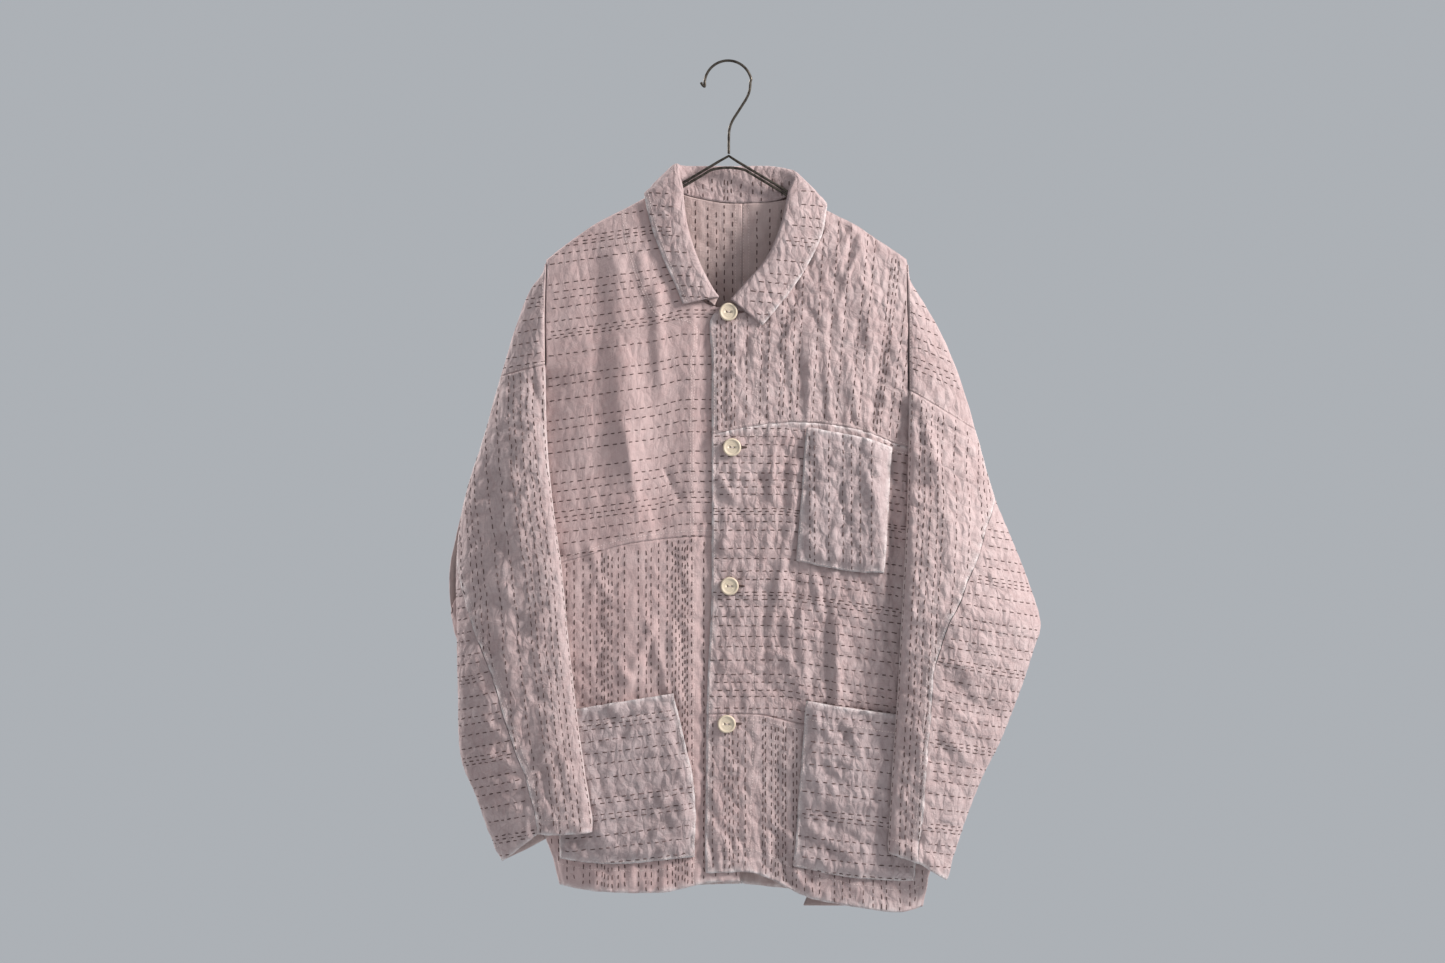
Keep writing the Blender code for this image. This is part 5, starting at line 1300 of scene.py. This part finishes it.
def dressed_sleeve(side_name, shape, look):
    """The upper and the under panel of one sleeve."""
    seam_start = shape["seam"][0][0]
    rows = np.concatenate([np.linspace(0, 1, 19), [0.05, seam_start, shape["underarm"]]])
    rows = subdivide(np.unique(np.round(rows, 3)), CELL, 495.0)
    seam = np.array(shape["seam"], float)
    hidden = np.array(shape["hidden"], float)
    gap = 0.0025
    seam_at = np.interp(rows, seam[:, 0], seam[:, 1], left=1.0)
    hidden_at = np.interp(rows, hidden[:, 0], hidden[:, 1])
    around = 0.5 - 0.5 * np.cos(np.pi * np.linspace(0, 1, 29))
    seam_side = np.minimum(seam_at - gap * (rows >= seam_start), 1)
    seen = across_sleeve(shape, rows, seam_side[:, None] * around, True)
    low = rows >= 0.05
    back_round = subdivide([0.0, 0.06, 0.25, 0.5, 0.75, 1.0], CELL, 85.0)
    behind = across_sleeve(shape, rows[low], (hidden_at[low] - gap)[:, None] * back_round, False)
    field = edge_distances(seen)["inner"]
    cuff = ("bottom", CUFF_HEM, 0.7, 1.0)
    cuff_sewing = [CUFF_HEM - EDGE_SEWING]
    seen = stitched_ribs(seen, FRONT, field, SLEEVE_COLUMNS, 0.4)
    ridged = sewn_edges(seen, FRONT, [cuff, ("outer", FELL_WIDTH, 0.5, 0.7)], 11)
    seen = sewn_edges(seen, FRONT, [cuff], 11)
    seen += (ridged - seen) * smooth_step((rows - seam_start) / 0.06)[:, None, None]
    lines = columns_on(seen, FRONT, field, SLEEVE_COLUMNS)
    lines += columns_on(behind, BEHIND, edge_distances(behind)["inner"], SLEEVE_COLUMNS)
    sewn = edge_rows(seen, FRONT, "bottom", cuff_sewing)
    sewn += edge_rows(seen, FRONT, "outer", [2, FELL_WIDTH - 1]) + edge_rows(seen, FRONT, "inner", [4])
    sewn += edge_rows(behind, BEHIND, "bottom", cuff_sewing)
    finish_panel(side_name + "_sleeve_upper", [seen, behind], FRONT, look, lines, sewn,
                 ("inner", "bottom", "outer"))

    below = rows >= seam_start - 0.0001
    across = 0.5 - 0.5 * np.cos(np.pi * np.linspace(0, 1, 25))
    shares = np.minimum(seam_at + gap, 1)[below][:, None] * (1 - across) + across
    seen = across_sleeve(shape, rows[below], shares, True)
    low = rows >= shape["underarm"] + 0.03
    outer_round = subdivide([0.0, 0.06, 0.25, 0.6, 1.0], CELL, 60.0)
    behind = across_sleeve(shape, rows[low], 1 - (1 - hidden_at[low] - gap)[:, None] * outer_round, False)
    slope = shape["row_slope"]
    field = seen[..., 2] - slope * seen[..., 0]
    crosswise = spread(-900, -400, 21)
    seen = stitched_ribs(seen, FRONT, field, crosswise, 0.4)
    seen = sewn_edges(seen, FRONT, [cuff], 12)
    lines = rows_on(seen, FRONT, field, crosswise)
    lines += rows_on(behind, BEHIND, behind[..., 2] - slope * behind[..., 0], crosswise)
    sewn = edge_rows(seen, FRONT, "bottom", cuff_sewing) + edge_rows(behind, BEHIND, "bottom", cuff_sewing)
    finish_panel(side_name + "_sleeve_under", [seen, behind], FRONT, look, lines, sewn, ("bottom",))


def dressed_pocket(node, edges, direction, rows, look, slope=0.0):
    """A patch pocket one layer in front of the front panels, with its hem, its rows and its edge sewing."""
    top, bottom, inner, outer = [at(smooth_line(edge), np.linspace(0, 1, 9)) for edge in edges]
    flat = finer(coons(top, bottom, inner, outer))
    x, z = flat[..., 0], flat[..., 1]
    own = np.abs(fold_height(x, z, POCKET_CRINKLES)) + 1.4 * crumples(x, z, POCKET_FACET, -0.5)
    away = edge_distances(lift(flat, np.zeros_like(x)))
    inside = smooth_step(np.minimum(np.minimum(away["inner"], away["outer"]), away["bottom"]) / 12)
    panel = lift(flat, front_y(x, z) - LAYER_STEP - own * inside - POCKET_FULLNESS * inside)
    field = x if direction == "down" else z - slope * x
    place = columns_on if direction == "down" else rows_on
    panel = stitched_ribs(panel, FRONT, field, rows, 0.5)
    bands = [("top", POCKET_HEM, 0.7, 0.6), ("inner", POCKET_TURNING, 0.6, 0.9)]
    bands += [("outer", POCKET_TURNING, 0.6, 0.6), ("bottom", POCKET_TURNING, 0.6, 0.9)]
    panel = sewn_edges(panel, FRONT, bands, 13)
    sewn = edge_rows(panel, FRONT, "inner", [2]) + edge_rows(panel, FRONT, "outer", [2])
    sewn += edge_rows(panel, FRONT, "bottom", [2])
    sewn += edge_rows(panel, FRONT, "top", [POCKET_HEM - EDGE_SEWING])
    finish_panel(node, [panel], FRONT, look, place(panel, FRONT, field, rows), sewn,
                 ("top", "inner", "outer", "bottom"))
    return panel


def bartack(name, panel, column, long, width):
    """A close bar of pale thread down from a pocket's top corner."""
    square = outward(panel, FRONT)
    away = run_lengths(panel, 0)[:, column]
    inner = 3.0 if column == 0 else -3.0
    lines = []
    for height in np.arange(1.0, long, 0.55):
        points = []
        up = []
        for offset in (-width / 2, 0.0, width / 2):
            spot = np.array([np.interp(height, away, panel[:, column, k]) for k in range(3)])
            up.append(np.array([np.interp(height, away, square[:, column, k]) for k in range(3)]))
            points.append(spot + np.array([inner + offset, -0.3, 0.0]))
        lines.append((np.array(points), np.array(up)))
    stitches(name, lines, (width - 1.4, width - 1.3), (0.1, 0.2), 0.55, 3, BARTACK)


def dressed_collar(look):
    """The collar: its stand, its rounded fold and its leaf, which clears the fronts under it."""
    grid = finer(collar_grid(), COLLAR_CELL)
    over_front = smooth_step((3.0 - grid[..., 1]) / 4) * (np.arange(len(grid)) > len(grid) * 0.5)[:, None]
    clear = front_y(grid[..., 0], grid[..., 2]) - LAYER_STEP
    below = smooth_step((shoulder_height(grid[..., 0]) - 6 - grid[..., 2]) / 12)
    share = over_front * below
    grid[..., 1] += (np.minimum(grid[..., 1], clear) - grid[..., 1]) * share
    crease = np.abs(fold_height(grid[..., 0], grid[..., 2], COLLAR_CRINKLES))
    crease += 1.1 * crumples(grid[..., 0], grid[..., 2], COLLAR_FACET)
    grid[..., 1] -= crease * share
    middle = int(len(grid) * 0.55)
    leaf = grid[middle:]
    leaf = sewn_edges(leaf, FRONT, [("bottom", COLLAR_TURNING, 0.5, 0.8)], 15)
    grid = np.concatenate([grid[:middle], leaf])
    front_part = leaf[..., 1].mean(axis=0) < 1.0
    lines = []
    right_end = int(np.argmin(front_part))
    left_start = int(len(front_part) - np.argmin(front_part[::-1]))
    for side in (leaf[:, :right_end], leaf[:, left_start:]):
        lines += columns_on(side, FRONT, side[..., 2] + 0.08 * side[..., 0], down_photo(COLLAR_PIXEL_ROWS))
    behind = leaf[:, ~front_part]
    lines += columns_on(behind, BEHIND, behind[..., 0], spread(-80, 95, 31))
    stand = grid[:int(len(grid) * 0.3), ~front_part]
    lines += columns_on(stand, FRONT, stand[..., 0], spread(-55, 70, 33))
    sewn = edge_rows(leaf, FRONT, "bottom", [COLLAR_TURNING - 1])
    finish_panel("collar", [grid], FRONT, look, lines, sewn, ("bottom",))


def depth_at(surface, x, z):
    """The depth of a surface at one point."""
    return float(surface(np.array(float(x)), np.array(float(z))))


def collar_grid():
    """Rows from the neck seam over the fold to the leaf's edge, and tracks round the neck."""
    sections = []
    for section in COLLAR_RIGHT + COLLAR_LEFT:
        points = [np.array([x, depth_at(front_y, x, z), z]) for x, z in section]
        points[2][1] -= LEAF_LIFT
        sections.append((*points, np.array(FRONT)))
    round_back = []
    for (seam, fold, leaf), fold_y, clear, facing in zip(COLLAR_BACK, COLLAR_FOLD_DEPTH, COLLAR_LEAF_DEPTH,
                                                         COLLAR_FACING):
        seam_y = depth_at(back_y, *seam) if clear else 0.0
        leaf_y = depth_at(back_y, *leaf) + clear if clear else 0.0
        points = [np.array([x, y, z]) for (x, z), y in zip((seam, fold, leaf), (seam_y, fold_y, leaf_y))]
        round_back.append((*points, np.array(facing) / np.linalg.norm(facing)))
    half = len(COLLAR_RIGHT)
    ordered = sections[:half] + round_back + sections[half:]
    joined = smooth_line([np.concatenate([*section[:3], section[3] * 10]) for section in ordered], 6)
    tracks = at(joined, np.linspace(0, 1, 39))
    seam, fold, leaf, turned = [tracks[:, k:k + 3] for k in (0, 3, 6, 9)]
    turned = turned / np.linalg.norm(turned, axis=1)[:, None]
    down_stand = (seam - fold) / np.linalg.norm(seam - fold, axis=1)[:, None]
    radius = COLLAR_FOLD_RADIUS
    rows = [seam, (seam + fold + radius * down_stand) / 2, fold + radius * down_stand]
    down_leaf = leaf - fold - 2 * radius * turned
    down_leaf = down_leaf / np.linalg.norm(down_leaf, axis=1)[:, None]
    for angle in (45, 90, 135):
        swing = math.radians(angle)
        down = down_stand if angle < 90 else down_leaf
        rows.append(fold + radius * (1 - math.sin(swing)) * down + radius * (1 - math.cos(swing)) * turned)
    top = fold + radius * down_leaf + 2 * radius * turned
    rows.append(top)
    for share in (0.33, 0.66, 1.0):
        rows.append(top + (leaf - top) * share + turned * LEAF_CROWN * math.sin(math.pi * share))
    return np.stack(rows, axis=0)


def drilled(piece, places, base):
    """The piece's own mesh with a round hole through it at each place."""
    cutters = []
    for x, z in places:
        drill = bmesh.new()
        bmesh.ops.create_cone(drill, cap_ends=True, segments=20, radius1=BUTTON_HOLE_RADIUS * MM,
                              radius2=BUTTON_HOLE_RADIUS * MM, depth=BUTTON_THICKNESS * 4 * MM)
        tool = bpy.data.meshes.new("drill")
        drill.to_mesh(tool)
        drill.free()
        cutter = bpy.data.objects.new("drill", tool)
        cutter.location = (x * MM, base * MM, z * MM)
        cutter.rotation_euler = (math.pi / 2, 0, 0)
        bpy.context.scene.collection.objects.link(cutter)
        hole = piece.modifiers.new("hole", "BOOLEAN")
        hole.operation = "DIFFERENCE"
        hole.object = cutter
        cutters.append(cutter)
    cut = bpy.data.meshes.new_from_object(piece.evaluated_get(bpy.context.evaluated_depsgraph_get()))
    piece.modifiers.clear()
    piece.data = cut
    cut.shade_smooth()
    for cutter in cutters:
        bpy.data.objects.remove(cutter, do_unlink=True)


def dressed_button(number, place, finish):
    """A turned two-hole button with a raised rim, its thread through both holes and its sewn buttonhole."""
    x, z = place
    around = np.linspace(0, math.tau, 24, endpoint=False)
    under_x = x + BUTTON_RADIUS * np.concatenate([[0], np.cos(around)])
    under_z = z + BUTTON_RADIUS * np.concatenate([[0], np.sin(around)])
    base = float(front_y(under_x, under_z).min()) - WALL / 2 - SEAM_GAP - BUTTON_CLEARANCE
    thick, radius = BUTTON_THICKNESS, BUTTON_RADIUS
    profile = [(0, -thick + BUTTON_BOWL), (radius - 3.6, -thick + BUTTON_BOWL), (radius - 2.8, -thick + 0.75),
               (radius - 2.1, -thick + 0.2), (radius - 1.5, -thick), (radius - 0.8, -thick + 0.1),
               (radius - 0.2, -thick * 0.75), (radius, -thick * 0.5), (radius - 0.4, -thick * 0.15),
               (radius - 1.6, 0), (0, 0)]
    disc = bmesh.new()
    rings = [disc.verts.new((reach * MM, y * MM, 0)) for reach, y in profile]
    edges = [disc.edges.new(pair) for pair in zip(rings, rings[1:])]
    bmesh.ops.spin(disc, geom=rings + edges, cent=(0, 0, 0), axis=(0, 1, 0), angle=math.tau, steps=56)
    bmesh.ops.remove_doubles(disc, verts=disc.verts, dist=0.00001)
    bmesh.ops.recalc_face_normals(disc, faces=disc.faces)
    mesh = bpy.data.meshes.new(f"button_{number}_turned")
    disc.to_mesh(mesh)
    disc.free()
    mesh.materials.append(finish)
    piece = bpy.data.objects.new(f"button_{number}_turned", mesh)
    bpy.context.scene.collection.objects.link(piece)
    piece.location = (x * MM, base * MM, z * MM)
    piece.rotation_euler = (0, math.radians(BUTTON_TURN), 0)
    turn = math.radians(-BUTTON_TURN)
    reach = BUTTON_HOLE_SPACING / 2
    left_x, left_z = x - reach * math.cos(turn), z - reach * math.sin(turn)
    right_x, right_z = x + reach * math.cos(turn), z + reach * math.sin(turn)
    drilled(piece, [(left_x, left_z), (right_x, right_z)], base)
    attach(piece, "root")
    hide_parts(f"button_{number}")
    seat = base - thick + BUTTON_BOWL
    bridge = [(left_x, seat + 2.0, left_z), (left_x, seat - 0.1, left_z), (x, seat - 0.45, z),
              (right_x, seat - 0.1, right_z), (right_x, seat + 2.0, right_z)]
    tube(f"button_{number}_thread", bridge, HOLE_THREAD_RADIUS, False, PALE)
    shank = [(x, base - 0.2, z), (x, base + 1.6, z)]
    tube(f"button_{number}_shank", shank, SHANK_RADIUS, False, PALE)
    slit = []
    for angle in np.linspace(0, math.tau, 32, endpoint=False):
        slit_x = x + BUTTONHOLE_SHIFT + BUTTONHOLE_HALF_LENGTH * math.cos(angle)
        slit_z = z + BUTTONHOLE_HALF_WIDTH * math.sin(angle)
        slit.append((slit_x, depth_at(front_y, slit_x, slit_z) - FACE - 0.5, slit_z))
    tube(f"buttonhole_{number}", slit, BUTTONHOLE_THREAD_RADIUS, True, DARK)


def dressed_hanger(finish):
    """The bent hook and the closed wire under it, as round wires."""
    centre_z = HOOK_TOP_Z - HOOK_ARC_RADIUS
    arc = []
    for angle in np.linspace(186, 12, 15):
        swing = math.radians(angle)
        arc.append((HOOK_ARC_RADIUS * math.cos(swing), centre_z + HOOK_ARC_RADIUS * math.sin(swing)))
    shank = at(smooth_line(HOOK_SHANK), np.linspace(0, 1, 14))
    hook = smooth_line([(-28.4, -21.5), (-26.6, -24.5)] + arc + [tuple(point) for point in shank], 4)
    piece = tube("hanger_hook_wire", [(x, 0.0, z) for x, z in hook], WIRE_RADIUS, False, finish)
    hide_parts("hanger_hook")
    tip_z = APEX[1] - ROOF_SLOPE * HANGER_TIP_X
    roof = [(x, APEX[1] - ROOF_SLOPE * abs(x)) for x in np.linspace(0, HANGER_TIP_X, 20)[1:]]
    turn = [(HANGER_TIP_X + BAR_DROP * 0.5, tip_z - BAR_DROP * 0.7), (HANGER_TIP_X, tip_z - BAR_DROP * 1.25)]
    bar = []
    for x in np.linspace(HANGER_TIP_X, 0, 60)[1:]:
        bar.append((x, min(APEX[1] - ROOF_SLOPE * abs(x) - BAR_DROP * 1.25, BAR_TOP_Z - 0.0075 * x * x)))
    half = [APEX] + roof + turn + bar
    loop = half + [(-x, z) for x, z in half[:0:-1]][1:]
    piece = tube("hanger_loop_wire", [(x, 0.0, z) for x, z in loop], WIRE_RADIUS, True, finish)
    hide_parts("hanger_loop")


def light(name, place, aim, size, power, colour):
    """A soft square studio light that faces a point, in metres."""
    data = bpy.data.lights.new(name, "AREA")
    data.size = size
    data.energy = power
    data.color = colour
    lamp = bpy.data.objects.new(name, data)
    lamp.location = place
    lamp.rotation_euler = (Vector(aim) - Vector(place)).to_track_quat("-Z", "Y").to_euler()
    bpy.context.scene.collection.objects.link(lamp)


def studio():
    """A pale floor far below, a pale surround, window-like light from the right, a little from the front,
    light from behind for the views of the back, and the camera in front."""
    scene = bpy.context.scene
    scene.view_settings.view_transform = "Standard"
    floor = bpy.data.meshes.new("pale_floor")
    turns = np.linspace(0, math.tau, 96, False)
    rim = [(FLOOR_RADIUS * math.cos(turn), FLOOR_RADIUS * math.sin(turn), FLOOR_Z) for turn in turns]
    floor.from_pydata(rim, [], [tuple(range(len(rim)))])
    paint, _, shader = new_surface("matt_pale_paint", 0.9)
    shader.inputs["Base Color"].default_value = linear("#bcc1c4")
    floor.materials.append(paint)
    ground = bpy.data.objects.new("pale_floor", floor)
    scene.collection.objects.link(ground)
    world = bpy.data.worlds.new("pale_surround")
    world.use_nodes = True
    world.node_tree.nodes["Background"].inputs["Color"].default_value = linear("#cdd2d8")
    world.node_tree.nodes["Background"].inputs["Strength"].default_value = 0.68
    scene.world = world
    light("window", (2.2, -0.88, 0.8), (0.0, 0.0, -0.4), 0.6, 105.0, (1.0, 0.985, 0.97))
    light("front_fill", (0.4, -3.0, 0.9), (0.0, 0.0, -0.5), 1.8, 3.0, (0.95, 0.975, 1.0))
    light("behind", (-2.2, 1.1, 0.7), (0.0, 0.05, -0.45), 0.7, 70.0, (1.0, 0.985, 0.97))
    lens = bpy.data.cameras.new("front_view")
    lens.sensor_width = SENSOR_WIDTH
    lens.lens = LENS_LENGTH
    camera = bpy.data.objects.new("front_view", lens)
    camera.location = CAMERA_PLACE
    camera.rotation_euler = (math.pi / 2, 0, 0)
    scene.collection.objects.link(camera)
    scene.camera = camera


# Creases read off the photo, and small ones that a seeded chance places
FRONT_CREASES = UPPER_CREASES + creases_from(FRONT_CREASE_PIXELS) + CHEST_CREASES
SLEEVE_CREASES = creases_from(SLEEVE_CREASE_PIXELS)
FRONT_CRINKLES = crinkles(1, 190, (-10, -400), (195, -140), 20, 1.7) \
    + crinkles(2, 300, (-25, -880), (250, -400), 26, 1.9) \
    + crinkles(3, 80, (-190, -500), (-30, -150), 10, 0.9) \
    + crinkles(4, 190, (-230, -870), (-30, -500), 26, 1.5)
BACK_CRINKLES = crinkles(5, 520, (-270, -870), (290, -150), 26, 2.2)
SLEEVE_CRINKLES = crinkles(6, 300, (-285, -820), (-150, -330), 40, 1.9) \
    + crinkles(7, 280, (175, -850), (325, -350), 30, 1.7)
POCKET_CRINKLES = crinkles(8, 90, (70, -540), (170, -385), 35, 1.8) \
    + crinkles(9, 110, (65, -856), (205, -668), 50, 1.8) \
    + crinkles(10, 110, (-180, -836), (-35, -660), 55, 1.8)
COLLAR_CRINKLES = crinkles(12, 60, (-95, -270), (105, -120), 60, 1.0)

# Only this studio's lights and camera stay
for thing in [thing for thing in bpy.data.objects if thing.type in ("LIGHT", "CAMERA")]:
    bpy.data.objects.remove(thing, do_unlink=True)

# The fourth colour of each cotton is painted shade: a darker tone for its crease lines
INSIDE = garment_dyed_cotton("cotton_inside", "#bfa6a1", "#b59a95", "#cbb8b4", "#ad918d", 0.3)
SMOOTH = garment_dyed_cotton("cotton_softly_hung", "#c1a5a2", "#b79895", "#cdb8b5", "#ad8e8c", 0.35)
CRISP = garment_dyed_cotton("cotton_crinkled", "#b8a09e", "#ae9391", "#c9b9b7", "#9b807e", 0.85)
PALER = garment_dyed_cotton("cotton_pocket", "#b49f9e", "#a89291", "#c6b7b6", "#977f7e", 0.85)
DARK = sewing_thread("dark_brown_cotton_thread", "#54403c", "#6e5753")
PALE = sewing_thread("pale_cotton_thread", "#d9c3bd", "#e3d2cd")
BARTACK = sewing_thread("white_cotton_thread", "#dfe3e2", "#d2d6d5")

dressed_hanger(drawn_steel())
dressed_back("back_right", RIGHT_SIDE, RIGHT_SHOULDER, RIGHT_SLEEVE_HEAD, RIGHT_UNDERARM, RIGHT_FOLD_START,
             RIGHT_RIDGE, RIGHT_BACK_HEM, RIGHT_BACK_NECK, CRISP)
dressed_back("back_left", LEFT_SIDE, LEFT_SHOULDER, LEFT_SLEEVE_HEAD, LEFT_UNDERARM, LEFT_FOLD_START,
             LEFT_RIDGE, LEFT_BACK_HEM, LEFT_BACK_NECK, CRISP)
dressed_right_front(SMOOTH)
dressed_left_front(CRISP)
dressed_sleeve("right", RIGHT_SLEEVE, CRISP)
dressed_sleeve("left", LEFT_SLEEVE, CRISP)
dressed_collar(CRISP)
chest = dressed_pocket("chest_pocket", CHEST_POCKET, "down", across_photo(CHEST_POCKET_PIXEL_COLUMNS), PALER)
dressed_pocket("right_pocket", RIGHT_POCKET, "across", down_photo(RIGHT_POCKET_PIXEL_ROWS), PALER, 0.12)
left = dressed_pocket("left_pocket", LEFT_POCKET, "across", down_photo(LEFT_POCKET_PIXEL_ROWS), PALER, -0.11)
button_finish = corozo_nut()
for number, place in enumerate(BUTTON_PLACES, 1):
    dressed_button(number, place, button_finish)
bartack("chest_bartack_inner", chest, 0, 15, 5.0)
bartack("chest_bartack_outer", chest, -1, 15, 6.0)
bartack("left_bartack", left, 0, 11, 8.0)
studio()
